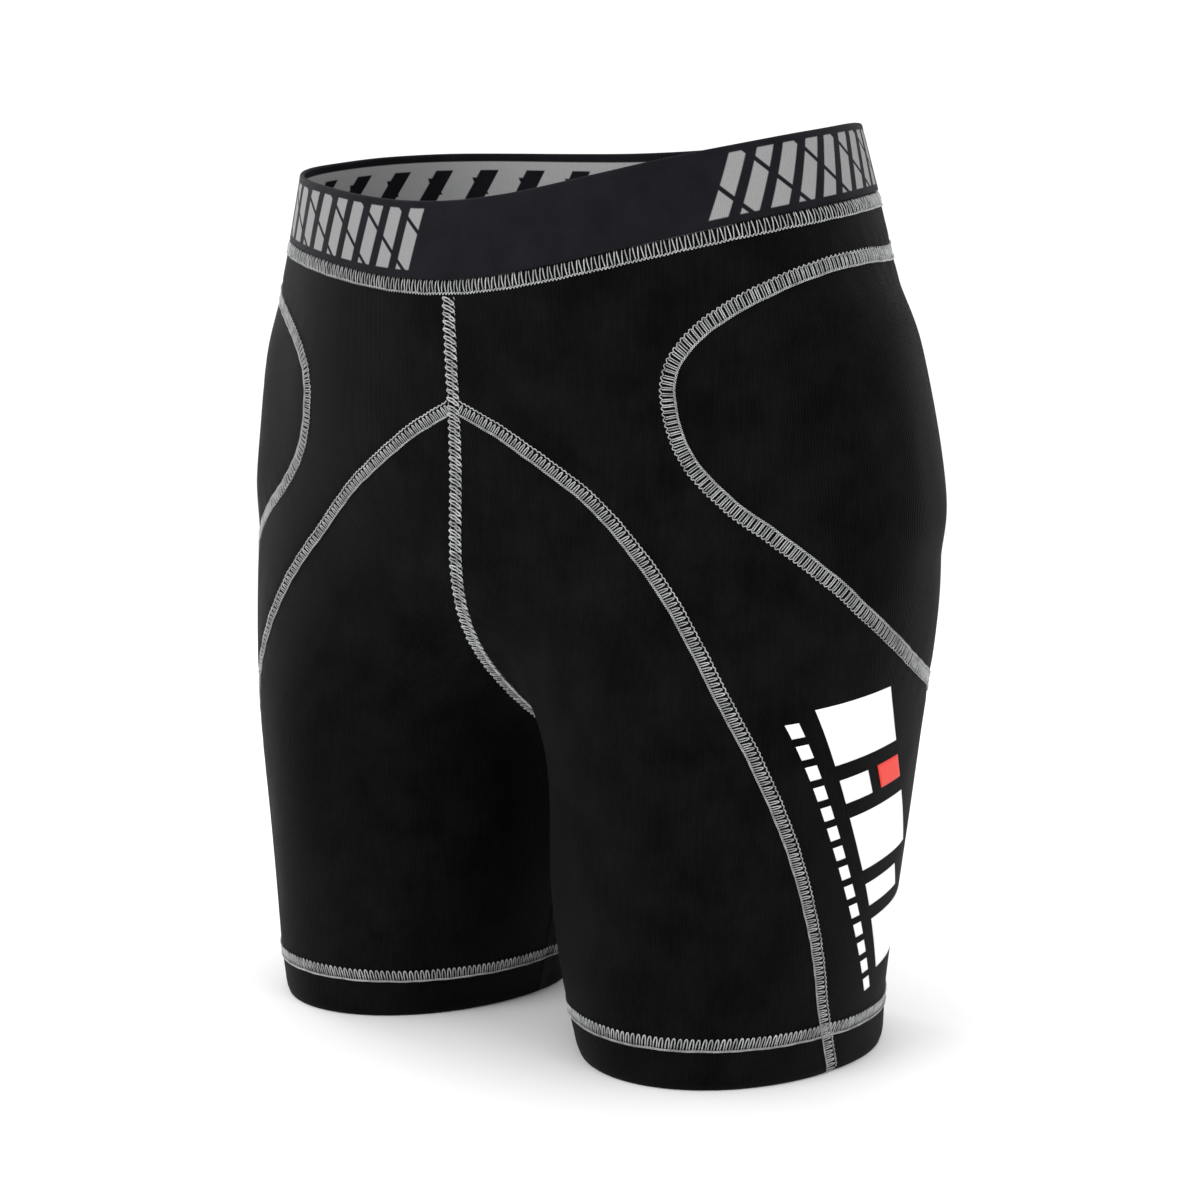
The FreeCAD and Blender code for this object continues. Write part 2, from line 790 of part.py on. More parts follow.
def pad(size, place, reach_of):
    """Foam pad, full over its middle and thinner towards its rim."""
    grids = o_grid(pad_outline(size, place, PAD_RIM), (8, 8))

    def under(p):
        inside = ease((1 - reach_of(p.x, p.y, p.z)) / PAD_SHOULDER)
        return PAD_LIFT - PAD_EDGE - (PAD_MIDDLE - PAD_EDGE) * inside

    return sheet_solid(grids, level(PAD_LIFT), under)


def lining(grids, reach_of):
    """Mesh layer behind a pad: flat on the panel near its seam, dished where the pad lies."""
    depth = PAD_MIDDLE + LAYER_GAP

    def face(p):
        return PAD_LIFT - depth * ease((DISH_END - reach_of(p.x, p.y, p.z)) / DISH_FADE)

    return sheet_solid(grids, face, lambda p: face(p) - LINING)


def print_point(along, across):
    """Place on the left thigh, down the print and across it towards the back."""
    y = PRINT_TOP[0] + along * PRINT_LEAN + across
    z = PRINT_TOP[1] - along + across * PRINT_LEAN
    return on_side(y, z)


def print_block(block):
    """One slanted block of the transfer print."""
    along, length, start, end = block
    corners = [(along, start), (along + length, start), (along + length, end), (along, end)]
    points = [print_point(a - PRINT_SLANT * b, b) for a, b in corners]
    sides = [straight(points[k], points[(k + 1) % 4], 12) for k in range(4)]
    return sheet([patch(*sides, 4, 5)], PRINT_LIFT + PRINT, PRINT)


def marks():
    """Column of small plain marks beside the blocks."""
    return [
        (MARK_START + MARK_PITCH * k, MARK_LENGTH, -MARK_OFFSET - MARK_WIDTH, -MARK_OFFSET)
        for k in range(MARK_COUNT)
    ]


def export(name, shape):
    shape.translate(Vector(0, -MIDDLE_Y, 0))
    if not shape.isValid() or min(solid.Volume for solid in shape.Solids) <= 0:
        print("faulty solid:", name)
    shape.exportStep("parts/" + name + ".step")


def export_pair(name, shape):
    export(name + "_right", flip(shape))
    export(name + "_left", shape)


def export_panels():
    export_pair("front_side_panel", sheet(front_side_panel(), 0, FABRIC))
    export_pair("front_thigh_panel", sheet(front_thigh_panel(), 0, FABRIC))
    export_pair("back_panel", sheet(back_panel(), 0, FABRIC))
    export_pair("hip_panel", sheet(o_grid(hip_sides(SEAM_GAP), (12, 18)), 0, FABRIC))
    export("tailbone_panel", sheet(tail_grids(SEAM_GAP + BAND_GAP), 0, FABRIC))
    export_pair("hem_fold", sheet(leg_ring(HEM_FOLD_FOOT, HEM_STITCH_FOOT), PAD_LIFT, HEM_FOLD))


def export_waistband():
    band = sheet(waist_ring(WAIST_SEAM, 0, WAIST_TOP, 0), BAND_LIFT, BAND)
    export("waistband", band)
    inside = BAND_LIFT - BAND - LAYER_GAP
    start = BACK_ANGLE - JOIN_TURN
    end = BACK_ANGLE + JOIN_TURN
    foot = waist_line(WAIST_SEAM, start, end, JOIN_INSET)
    top = waist_line(WAIST_TOP, start, end, -JOIN_INSET)
    export("waistband_join", sheet(ring_patches([(foot, top)], 6, 4), inside, JOIN))


def export_pads():
    export_pair("hip_pad", pad(HIP_PAD, on_side, hip_reach))
    export_pair("hip_pad_lining", lining(o_grid(hip_sides(LINING_INSET), (12, 18)), hip_reach))
    export("tailbone_pad", pad(TAIL_PAD, on_back, tail_reach))
    export("tailbone_pad_lining", lining(tail_grids(LINING_INSET), tail_reach))


def export_threads():
    waist = waist_ring(WAIST_SEAM, -THREAD_WIDTH - CLEAR, WAIST_SEAM, -CLEAR)
    export("waist_seam_thread", thread(waist))
    export("front_centre_seam_thread", stitching(trimmed(FRONT_SEAM, WAIST_TRIM, JUNCTION_TRIM)))
    under = trimmed(UNDER_SEAM, JUNCTION_TRIM, 0) + trimmed(SEAT_SEAM, 0, JUNCTION_TRIM)[1:]
    export("crotch_seam_thread", stitching(under))
    tail = stitching(trimmed(TAIL, WAIST_TRIM, JUNCTION_TRIM + 1))
    export("tailbone_seam_thread", Part.Compound([tail, flip(tail)]))
    export_pair("hip_seam_thread", stitching(trimmed(HIP, JUNCTION_TRIM, JUNCTION_TRIM)))
    for name, line, start in (
        ("thigh_seam_thread", THIGH, JUNCTION_TRIM + 1),
        ("side_back_seam_thread", SIDE_BACK, WAIST_TRIM),
        ("inseam_thread", INNER, JUNCTION_TRIM),
    ):
        above, below = down_leg(line)
        pieces = [stitching(trimmed(above, start, 0)), stitching(below)]
        export_pair(name, Part.Compound(pieces))
    export_pair("hem_thread", thread(leg_ring(HEM_STITCH_FOOT, HEM_STITCH_TOP)))


def export_print():
    white = [print_block(block) for block in WHITE_BLOCKS + marks()]
    export("thigh_print", Part.Compound(white))
    export("thigh_print_accent", print_block(ACCENT_BLOCK))


os.makedirs("parts", exist_ok=True)
export_panels()
export_waistband()
export_pads()
export_threads()
export_print()
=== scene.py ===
import math

import bpy
import numpy as np
from mathutils import Matrix, Vector
from mathutils.kdtree import KDTree


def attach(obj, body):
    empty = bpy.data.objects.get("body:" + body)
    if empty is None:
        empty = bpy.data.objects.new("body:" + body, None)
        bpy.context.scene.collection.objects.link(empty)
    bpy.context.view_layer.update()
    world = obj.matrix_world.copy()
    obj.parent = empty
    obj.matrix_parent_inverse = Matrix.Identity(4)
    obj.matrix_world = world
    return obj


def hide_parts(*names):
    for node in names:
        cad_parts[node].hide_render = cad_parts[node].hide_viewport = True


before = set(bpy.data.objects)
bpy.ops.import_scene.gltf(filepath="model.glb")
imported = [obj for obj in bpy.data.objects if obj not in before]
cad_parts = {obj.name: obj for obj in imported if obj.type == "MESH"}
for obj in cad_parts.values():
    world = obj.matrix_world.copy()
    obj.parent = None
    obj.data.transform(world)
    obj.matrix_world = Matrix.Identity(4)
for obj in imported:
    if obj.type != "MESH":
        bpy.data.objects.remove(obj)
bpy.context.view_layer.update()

# Padded impact shorts. Lengths are worked out in millimetres about the leg axes, as in the CAD,
# and go to metres in the row frame when a mesh is made.

MM = 0.001
RANDOM = np.random.default_rng(7)

# ---------------------------------------------------------------- dimensions shared with the CAD
# A leg's section at each height: how far out its centre is, half width, centre y, and depth
# to the front and to the back.
STATIONS = np.array([
    (0, 92, 68, 12, 94, 78),
    (85, 89, 80, 8, 99, 88),
    (165, 86, 92, 6, 101, 100),
    (215, 66, 120, 2, 93, 110),
    (270, 56, 129, -2, 80, 116),
    (340, 52, 119, -5, 81, 110),
    (440, 54, 84, -7, 85, 111),
], float)
CROTCH_BLEND = 24                  # softness of the join between the two legs' tubes, low and high
BODY_BLEND = 88
BLEND_START = 120
BLEND_RISE = 200
# Waist lines: height at the sides, slope from front to back, dip at both ends, easing of the slope.
WAIST_SEAM = (396.3, 29.5, 17.1, 7.6)
WAIST_TOP = (428.3, 26.4, 13.9, 4.1)
MIDDLE_Y = 12.3                    # from the leg axes' frame to the middle of the whole depth

FABRIC = 1.0                       # thicknesses, and gaps between layers
BAND = 2.2
BAND_LIFT = 0.4
LINING = 0.6
HEM_FOLD = 0.8
LAYER_GAP = 0.4
PAD_LIFT = -FABRIC - LAYER_GAP
PAD_EDGE = 3.0
PAD_MIDDLE = 8.0
PAD_SWELL = 4.0                    # how far a pad pushes the outline out, and where that fades
SWELL_END = 1.28
SWELL_FADE = 0.48
HIP_PAD = (-2, 296, 55, 54)        # centre and half size, along and up
TAIL_PAD = (0, 336, 33, 44)
HIP_START = 60                     # a hip pad is farther out than this
PAD_SQUARENESS = 3.0
PAD_RIM = 0.98
HEM_STITCH_FOOT = 18.5
HEM_STITCH_TOP = 24.5

# Seam lines on the wearer's left: guide points that are then laid on the outline.
CROTCH = (0, 10, 140)
YOKE_POINT = (0, -97, 301)
TAIL_POINT = (0, 112, 266)
THIGH_SEAM = [
    (24, -94, 290), (47, -91, 276), (69, -88, 261), (88, -85, 243), (107, -84, 222),
    (122, -83, 200), (134, -78, 176), (146, -70, 150), (154, -56, 118), (159, -45, 90),
    (161, -34, 60), (160, -25, 30),
]
HIP_SEAM = [
    (126, 76, 380), (148, 48, 378), (160, 20, 373), (162, -10, 369),
    (156, -38, 363), (140, -60, 352), (122, -73, 339), (109, -79, 325), (104, -80, 312),
    (105, -79, 298), (110, -76, 282), (120, -73, 269), (133, -68, 257), (147, -62, 247),
    (161, -53, 235), (171, -44, 225), (178, -31, 213), (181, -11, 200), (180, 14, 187),
    (174, 44, 176), (164, 66, 169),
]
HIP_BACK_TOP = (93, 99, 378)
HIP_BACK_FOOT = (148, 82, 165)
SIDE_BACK_SEAM = [
    HIP_BACK_TOP, (104, 102, 340), (115, 101, 300), (127, 98, 260), (138, 92, 215),
    HIP_BACK_FOOT, (145, 80, 120), (141, 77, 70), (135, 77, 30),
]
TAIL_SEAM = [(43, 109, 370), (40, 110, 335), (33, 112, 306), (20, 113, 282)]
INSEAM = [(3, 9, 125), (7, 8, 100), (12, 9, 70), (17, 10, 35)]
SIDE_BACK_ANGLE = 48
TAIL_ANGLE = 68
FRONT_ANGLE = -90
BACK_ANGLE = 90
THIGH_HEM_ANGLE = -21
SIDE_BACK_HEM_ANGLE = 60
INSEAM_HEM_ANGLE = 180

PRINT_TOP = (-50, 172)             # y and z of the print's first corner
PRINT_LEAN = 0.5
PRINT_SLANT = -0.3
WHITE_BLOCKS = [                   # start and length down the print, start and end across it
    (0, 26, 0, 36), (33, 11, 0, 15), (51, 26, 0, 36), (84, 11, 0, 24), (102, 26, 0, 36),
]
ACCENT_BLOCK = (33, 11, 21, 36)
MARK_START = 4
MARK_PITCH = 9.6
MARK_LENGTH = 6.2
MARK_WIDTH = 4.5
MARK_OFFSET = 7
MARK_COUNT = 14

TRACE_POINTS = 400
SMALL = 1e-9
FAR_AWAY = 9                       # reach where there is no pad

# ---------------------------------------------------------------- worn outline


def spline_bends(heights, values):
    """Second derivatives of the natural cubic spline through the values."""
    count = len(heights)
    matrix = np.eye(count)
    right = np.zeros(count)
    gaps = np.diff(heights)
    slopes = np.diff(values) / gaps
    for i in range(1, count - 1):
        matrix[i, i - 1:i + 2] = gaps[i - 1], 2 * (gaps[i - 1] + gaps[i]), gaps[i]
        right[i] = 6 * (slopes[i] - slopes[i - 1])
    return np.linalg.solve(matrix, right)


HEIGHTS = STATIONS[:, 0]
SECTIONS = STATIONS[:, 1:]
BENDS = np.stack([spline_bends(HEIGHTS, column) for column in SECTIONS.T], axis=1)
STATION_RANGE = (-20, 460)


def station(z):
    """A leg's section at each height, by natural cubic spline."""
    z = np.clip(z, *STATION_RANGE)
    i = np.clip(np.searchsorted(HEIGHTS, z, side="right") - 1, 0, len(HEIGHTS) - 2)
    span = HEIGHTS[i + 1] - HEIGHTS[i]
    a = ((HEIGHTS[i + 1] - z) / span)[..., None]
    b = 1 - a
    square = (span * span / 6)[..., None]
    bend = (a ** 3 - a) * BENDS[i] + (b ** 3 - b) * BENDS[i + 1]
    return a * SECTIONS[i] + b * SECTIONS[i + 1] + bend * square


def tube_distance(x, y, section):
    """Rough distance outside the tube of one leg, from its section at the point's height."""
    centre, half_width, centre_y, front, back = np.moveaxis(section, -1, 0)
    depth = np.where(y < centre_y, front, back)
    u = (x - centre) / half_width
    v = (y - centre_y) / depth
    ratio = np.hypot(u, v) + SMALL
    return ratio * (ratio - 1) / (np.hypot(u / half_width, v / depth) + SMALL)


def ease(value):
    value = np.clip(value, 0, 1)
    return value * value * (3 - 2 * value)


def pad_reach(across, z, pad):
    """1 on a pad's rim, less inside it."""
    u = np.abs(across - pad[0]) / pad[2]
    v = np.abs(z - pad[1]) / pad[3]
    return (u ** PAD_SQUARENESS + v ** PAD_SQUARENESS) ** (1 / PAD_SQUARENESS)


def hip_reach(p):
    return np.where(np.abs(p[..., 0]) > HIP_START, pad_reach(p[..., 1], p[..., 2], HIP_PAD), FAR_AWAY)


def tail_reach(p):
    return np.where(p[..., 1] > 0, pad_reach(p[..., 0], p[..., 2], TAIL_PAD), FAR_AWAY)


def distance(p):
    """Distance outside the worn outline, less than 0 inside it."""
    x, y, z = np.moveaxis(p, -1, 0)
    section = station(z)
    near = tube_distance(x, y, section)
    far = tube_distance(-x, y, section)
    blend = CROTCH_BLEND + (BODY_BLEND - CROTCH_BLEND) * ease((z - BLEND_START) / BLEND_RISE)
    mix = np.clip(0.5 + 0.5 * (far - near) / blend, 0, 1)
    joined = far * (1 - mix) + near * mix - blend * mix * (1 - mix)
    reach = np.minimum(hip_reach(p), tail_reach(p))
    return joined - PAD_SWELL * ease((SWELL_END - reach) / SWELL_FADE)


def slope_at(p):
    step = 0.5
    slopes = []
    for axis in range(3):
        shift = np.zeros(3)
        shift[axis] = step
        slopes.append((distance(p + shift) - distance(p - shift)) / (2 * step))
    return np.stack(slopes, axis=-1)


def unit(v):
    return v / (np.linalg.norm(v, axis=-1, keepdims=True) + SMALL)


def snap(p, rounds=3):
    for _ in range(rounds):
        slope = slope_at(p)
        p = p - slope * (distance(p) / (slope * slope).sum(-1))[..., None]
    return p


MARCH_STEP = 10.0
MARCH_END = 270
MARCH_HALVINGS = 24


def march(start, way):
    """First points on the outline from starts inside it."""
    start, way = np.broadcast_arrays(np.asarray(start, float), np.asarray(way, float))
    reaches = np.arange(MARCH_STEP, MARCH_END, MARCH_STEP)
    steps = start[:, None] + way[:, None] * reaches[None, :, None]
    first = (distance(steps) >= 0).argmax(axis=1)
    high = reaches[first]
    low = high - MARCH_STEP
    for _ in range(MARCH_HALVINGS):
        reach = (low + high) / 2
        inside = distance(start + way * reach[:, None]) < 0
        low = np.where(inside, reach, low)
        high = np.where(inside, high, reach)
    return start + way * low[:, None]


# ---------------------------------------------------------------- lines on the outline


def smooth_through(points, count):
    """Catmull-Rom curve through points, at count even values of its parameter."""
    points = np.asarray(points, float)
    padded = np.vstack([2 * points[0] - points[1], points, 2 * points[-1] - points[-2]])
    t = np.linspace(0, len(points) - 1, count)
    i = np.clip(t.astype(int), 0, len(points) - 2)
    t = (t - i)[:, None]
    a, b, c, d = (padded[i + k] for k in range(4))
    return 0.5 * (
        2 * b + (c - a) * t + (2 * a - 5 * b + 4 * c - d) * t ** 2
        + (3 * b - a - 3 * c + d) * t ** 3
    )


def lengths_along(lines):
    """Lengths from the start of each line, whose points are on the last axis but one."""
    gaps = np.linalg.norm(np.diff(lines, axis=-2), axis=-1)
    return np.concatenate([np.zeros_like(gaps[..., :1]), np.cumsum(gaps, axis=-1)], axis=-1)


def at_lengths(line, lengths):
    own = lengths_along(line)
    return np.stack([np.interp(lengths, own, line[:, k]) for k in range(3)], axis=1)


def spread(line, count):
    return at_lengths(line, np.linspace(0, lengths_along(line)[-1], count))


def spot(point):
    return snap(np.asarray(point, float)[None])[0]


def trace(start, guides, end):
    """Dense even line on the outline from start through guide points to end."""
    points = np.vstack([start, snap(np.asarray(guides, float)), end])
    line = snap(smooth_through(points, TRACE_POINTS + 1))
    line[0] = start
    line[-1] = end
    return spread(line, TRACE_POINTS + 1)


def waist_height(angle, level):
    """Height of a waist line at angles round the body, in degrees."""
    middle, rise, dip, easing = level
    turn = np.sin(np.radians(angle))
    return middle + turn * (rise - turn * (dip + easing * turn))


def out_from(x, y, z, way):
    """Points on the outline straight out from places inside it."""
    places = np.stack(np.broadcast_arrays(*(np.asarray(v, float) for v in (x, y, z))), axis=-1)
    return march(places.reshape(-1, 3), np.atleast_2d(way)).reshape(places.shape)


def rays(axis, angles, z):
    """Points on the outline at angles round an upright axis."""
    turns = np.radians(angles)
    return out_from(*axis, z, np.stack([np.cos(turns), np.sin(turns), np.zeros_like(turns)], axis=1))


BODY_AXIS = (0, 0)
BODY_MIDDLE = (0, 8, 235.0)
LEG_AXIS = (STATIONS[0, 1], STATIONS[0, 3])


def waist_line(level, start, end, shift=0.0):
    angles = np.linspace(start, end, TRACE_POINTS + 1)
    return rays(BODY_AXIS, angles, waist_height(angles, level) + shift)


def leg_line(z, start, end):
    angles = np.linspace(start, end, TRACE_POINTS + 1)
    return rays(LEG_AXIS, angles, np.full_like(angles, z, dtype=float))


def middle_line():
    """The outline's middle, from the front waist under the crotch to the back waist."""
    turns = np.radians(np.linspace(-160, 160, 2 * TRACE_POINTS + 1))
    ways = np.stack([np.zeros_like(turns), np.sin(turns), -np.cos(turns)], axis=1)
    return march(np.array([BODY_MIDDLE]), ways)


def nearest_index(line, point):
    return int(np.linalg.norm(line - np.asarray(point, float), axis=1).argmin())


def nearest(line, point):
    return line[nearest_index(line, point)]


def near(line, height):
    """First point of a line at a height."""
    crossed = (line[:-1, 2] - height) * (line[1:, 2] - height) <= 0
    return line[int(crossed.argmax())]


def part_of(line, start, end):
    """The line between two of its points, in that order."""
    i = nearest_index(line, start)
    j = nearest_index(line, end)
    piece = line[i:j + 1] if i <= j else line[j:i + 1][::-1]
    return np.vstack([start, piece[1:-1], end])


def parts_of(line, *stops):
    """The line's parts from each stop to the next."""
    return [part_of(line, start, end) for start, end in zip(stops, stops[1:])]


def ways_along(lines):
    ways = np.empty_like(lines)
    ways[..., 1:-1, :] = lines[..., 2:, :] - lines[..., :-2, :]
    ways[..., 0, :] = lines[..., 1, :] - lines[..., 0, :]
    ways[..., -1, :] = lines[..., -1, :] - lines[..., -2, :]
    return unit(ways)


def shifted(line, amount):
    """Line moved sideways on the outline, to the left of its way when seen from outside."""
    if not amount:
        return line.copy()
    side = unit(np.cross(unit(slope_at(line)), ways_along(line)))
    return snap(line + side * amount)


def inset(loop, gaps):
    """Loop of lines, anticlockwise from outside, with each moved inwards by its gap."""
    sides = [shifted(line, gap) for line, gap in zip(loop, gaps)]
    for k, line in enumerate(loop):
        moved = sides[k - 1][-1] + sides[k][0] - line[0]
        if line[0][2] == 0:
            moved[2] = 0
        else:
            moved = spot(moved)
        sides[k - 1][-1] = moved
        sides[k][0] = moved
    return sides


def straight(a, b, steps=60):
    share = np.linspace(0, 1, steps + 1)[:, None]
    line = snap(a + (b - a) * share)
    line[0] = a
    line[-1] = b
    return line


def flip(points):
    """Mirror image, on the wearer's other side."""
    return points * np.array([-1, 1, 1])


def make_tree(places):
    """Search tree of places, numbered in their order."""
    tree = KDTree(len(places))
    for number, place in enumerate(places.tolist()):
        tree.insert(place, number)
    tree.balance()
    return tree


# ---------------------------------------------------------------- patches

DENSITY = 4
RELAX_ROUNDS = 60
SNAP_EVERY = 5


def fine(count):
    """Points along a side that the CAD gives count points."""
    return (count - 1) * DENSITY + 1


def patch(a_to_b, b_to_c, c_to_d, d_to_a, across, along):
    """Grid of points on the outline inside a loop of four lines."""
    across = fine(across)
    along = fine(along)
    bottom = spread(a_to_b, across)[:, None]
    top = spread(c_to_d, across)[::-1][:, None]
    right = spread(b_to_c, along)[None]
    left = spread(d_to_a, along)[::-1][None]
    u = np.linspace(0, 1, across)[:, None, None]
    v = np.linspace(0, 1, along)[None, :, None]
    corners = (
        bottom[0] * (1 - u) * (1 - v) + bottom[-1] * u * (1 - v)
        + top[0] * (1 - u) * v + top[-1] * u * v
    )
    grid = bottom * (1 - v) + top * v + left * (1 - u) + right * u - corners
    for k in range(RELAX_ROUNDS):
        around = grid[:-2, 1:-1] + grid[2:, 1:-1] + grid[1:-1, :-2] + grid[1:-1, 2:]
        grid[1:-1, 1:-1] = 0.25 * around
        if k % SNAP_EVERY == SNAP_EVERY - 1:
            grid[1:-1, 1:-1] = snap(grid[1:-1, 1:-1], 1)
    grid[1:-1, 1:-1] = snap(grid[1:-1, 1:-1])
    return grid


def ring_patch(low, high, across, along):
    """Patch between two lines that run side by side."""
    return patch(low, straight(low[-1], high[-1]), high[::-1], straight(high[0], low[0]),
                 along, across)


def o_grid(sides, counts, share=0.5):
    """Five patches that fill a loop of four lines whose corners may be smooth."""
    corners = [side[0] for side in sides]
    centre = sum(corners) / 4
    inner = [spot(centre + (corner - centre) * share) for corner in corners]
    bridges = [straight(corners[k], inner[k]) for k in range(4)]
    cores = [straight(inner[k], inner[(k + 1) % 4]) for k in range(4)]
    grids = []
    for k in range(4):
        after = (k + 1) % 4
        grids.append(
            patch(sides[k], bridges[after], cores[k][::-1], bridges[k][::-1], counts[k % 2], 5))
    grids.append(patch(*cores, *counts))
    return grids


# ---------------------------------------------------------------- seam lines

YOKE = spot(YOKE_POINT)
FORK = spot(CROTCH)
TAIL_TIP = spot(TAIL_POINT)
MIDDLE = middle_line()
FRONT_TOP, BACK_TOP, SIDE_TOP, TAIL_TOP = (
    waist_line(WAIST_SEAM, angle, angle)[0]
    for angle in (FRONT_ANGLE, BACK_ANGLE, SIDE_BACK_ANGLE, TAIL_ANGLE))
THIGH_FOOT, SIDE_FOOT, INSEAM_FOOT = (
    leg_line(0, angle, angle)[0]
    for angle in (THIGH_HEM_ANGLE, SIDE_BACK_HEM_ANGLE, INSEAM_HEM_ANGLE))

FRONT_SEAM = part_of(MIDDLE, FRONT_TOP, YOKE)
UNDER_SEAM = part_of(MIDDLE, YOKE, FORK)
SEAT_SEAM = part_of(MIDDLE, FORK, TAIL_TIP)
THIGH = trace(YOKE, THIGH_SEAM, THIGH_FOOT)
SIDE_BACK = trace(SIDE_TOP, SIDE_BACK_SEAM, SIDE_FOOT)
HIP_TOP_END = spot(HIP_BACK_TOP)
HIP_FOOT_END = spot(HIP_BACK_FOOT)
HIP = trace(HIP_TOP_END, HIP_SEAM, HIP_FOOT_END)
TAIL = trace(TAIL_TOP, TAIL_SEAM, TAIL_TIP)
INNER = trace(FORK, INSEAM, INSEAM_FOOT)

# ---------------------------------------------------------------- panel outlines

SEAM_GAP = 0.05            # panels all but meet under the stitching
BAND_GAP = 0.3


def front_side_grids():
    waist_corner = -48
    hem_corner = 12
    hip_high = nearest(HIP, (107, -80, 326))
    hip_low = nearest(HIP, (114, -75, 274))
    thigh_turn = nearest(THIGH, (64, -89, 265))
    loop = [
        waist_line(WAIST_SEAM, SIDE_BACK_ANGLE, waist_corner),
        waist_line(WAIST_SEAM, waist_corner, FRONT_ANGLE),
        FRONT_SEAM,
        *parts_of(THIGH, YOKE, thigh_turn, THIGH_FOOT),
        leg_line(0, THIGH_HEM_ANGLE, hem_corner),
        leg_line(0, hem_corner, SIDE_BACK_HEM_ANGLE),
        part_of(SIDE_BACK, SIDE_FOOT, HIP_FOOT_END),
        *parts_of(HIP, HIP_FOOT_END, hip_low, hip_high, HIP_TOP_END),
        part_of(SIDE_BACK, HIP_TOP_END, SIDE_TOP),
    ]
    gaps = [BAND_GAP, BAND_GAP] + [SEAM_GAP] * 3 + [0, 0] + [SEAM_GAP] * 5
    (over_hip, over_front, centre, yoke_side, thigh, hem_front, hem_side, back_low, hip_foot,
     hip_front, hip_top, back_high) = inset(loop, gaps)
    cut_waist = straight(over_front[0], hip_top[0])
    cut_yoke = straight(hip_top[0], yoke_side[0])
    cut_low = straight(hip_front[0], thigh[0])
    cut_leg = straight(hip_front[0], hem_side[0])
    return [
        patch(over_hip, cut_waist, hip_top, back_high, 22, 6),
        patch(over_front, centre, cut_yoke[::-1], cut_waist[::-1], 9, 6),
        patch(cut_yoke, yoke_side, cut_low[::-1], hip_front, 9, 7),
        patch(cut_low, thigh, hem_front, cut_leg[::-1], 9, 22),
        patch(hip_foot, cut_leg, hem_side, back_low, 16, 22),
    ]


def hip_sides(gap):
    """Four sides of the hip pocket, moved in by gap."""
    top = nearest(HIP, (150, -46, 360))
    low = nearest(HIP, (161, -53, 235))
    loop = [
        *parts_of(HIP, HIP_TOP_END, top, low, HIP_FOOT_END),
        part_of(SIDE_BACK, HIP_FOOT_END, HIP_TOP_END),
    ]
    return inset(loop, [gap] * 4)


def front_thigh_grids():
    hem = leg_line(0, INSEAM_HEM_ANGLE, 360 + THIGH_HEM_ANGLE)
    sides = inset([UNDER_SEAM, INNER, hem, THIGH[::-1]], [SEAM_GAP, SEAM_GAP, 0, SEAM_GAP])
    return [patch(*sides, 18, 28)]


def back_grids():
    seat_turn = near(SIDE_BACK, 260)
    thigh_turn = near(SIDE_BACK, 160)
    loop = [
        waist_line(WAIST_SEAM, TAIL_ANGLE, SIDE_BACK_ANGLE),
        *parts_of(SIDE_BACK, SIDE_TOP, seat_turn, thigh_turn, SIDE_FOOT),
        leg_line(0, SIDE_BACK_HEM_ANGLE, INSEAM_HEM_ANGLE),
        INNER[::-1],
        SEAT_SEAM,
        TAIL[::-1],
    ]
    gaps = [BAND_GAP, SEAM_GAP, SEAM_GAP, SEAM_GAP, 0, SEAM_GAP, SEAM_GAP, SEAM_GAP]
    waist, high, middle, low, hem, inner, seat, tail = inset(loop, gaps)
    cut_seat = straight(seat[-1], middle[0])
    cut_thigh = straight(inner[-1], low[0])
    return [
        patch(waist, high, cut_seat[::-1], tail, 12, 14),
        patch(cut_seat, middle, cut_thigh[::-1], seat, 12, 14),
        patch(cut_thigh, low, hem, inner, 12, 16),
    ]


def tail_grids(gap):
    """Both halves of the tailbone pocket, moved in by gap."""
    shoulder = near(TAIL, 312)
    loop = [
        waist_line(WAIST_SEAM, BACK_ANGLE, TAIL_ANGLE),
        *parts_of(TAIL, TAIL_TOP, shoulder, TAIL_TIP),
        part_of(MIDDLE, TAIL_TIP, BACK_TOP),
    ]
    sides = inset(loop, [gap, gap, gap, 0])
    for corner in (sides[0][0], sides[3][-1], sides[2][-1], sides[3][0]):
        corner[0] = 0
    sides[3][:, 0] = 0
    half = patch(*sides, 7, 13)
    return [half, flip(half)]


# ---------------------------------------------------------------- meshes


def to_frame(points):
    return (np.asarray(points) - np.array([0, MIDDLE_Y, 0])) * MM


def add_object(name, data):
    thing = bpy.data.objects.new(name, data)
    bpy.context.scene.collection.objects.link(thing)
    return thing


def make_object(name, points, faces, *materials):
    """Smooth mesh object from points in millimetres about the leg axes."""
    mesh = bpy.data.meshes.new(name)
    mesh.from_pydata(to_frame(points).tolist(), [], [list(map(int, face)) for face in faces])
    mesh.update()
    mesh.polygons.foreach_set("use_smooth", [True] * len(mesh.polygons))
    for material in materials:
        mesh.materials.append(material)
    return add_object(name, mesh)


WELD_SPAN = 0.02           # points closer than this are one


def weld(grids):
    """One set of points and quads from grids that share sides."""
    points = []
    quads = []
    offset = 0
    for grid in grids:
        rows, columns = grid.shape[:2]
        ids = np.arange(rows * columns).reshape(rows, columns) + offset
        quad = np.stack([ids[:-1, :-1], ids[1:, :-1], ids[1:, 1:], ids[:-1, 1:]], axis=-1)
        quad = quad.reshape(-1, 4)
        flat = grid.reshape(-1, 3)
        corners = flat[quad - offset]
        turn = np.cross(corners[:, 2] - corners[:, 0], corners[:, 3] - corners[:, 1])
        middle = corners.mean(axis=1)
        if (turn * slope_at(middle)).sum() < 0:
            quad = quad[:, ::-1]
        points.append(flat)
        quads.append(quad)
        offset += rows * columns
    points = np.vstack(points)
    quads = np.vstack(quads)
    keys = np.round(points / WELD_SPAN).astype(np.int64)
    _, first, same = np.unique(keys, axis=0, return_index=True, return_inverse=True)
    same = same.reshape(-1)
    return points[first], same[quads]


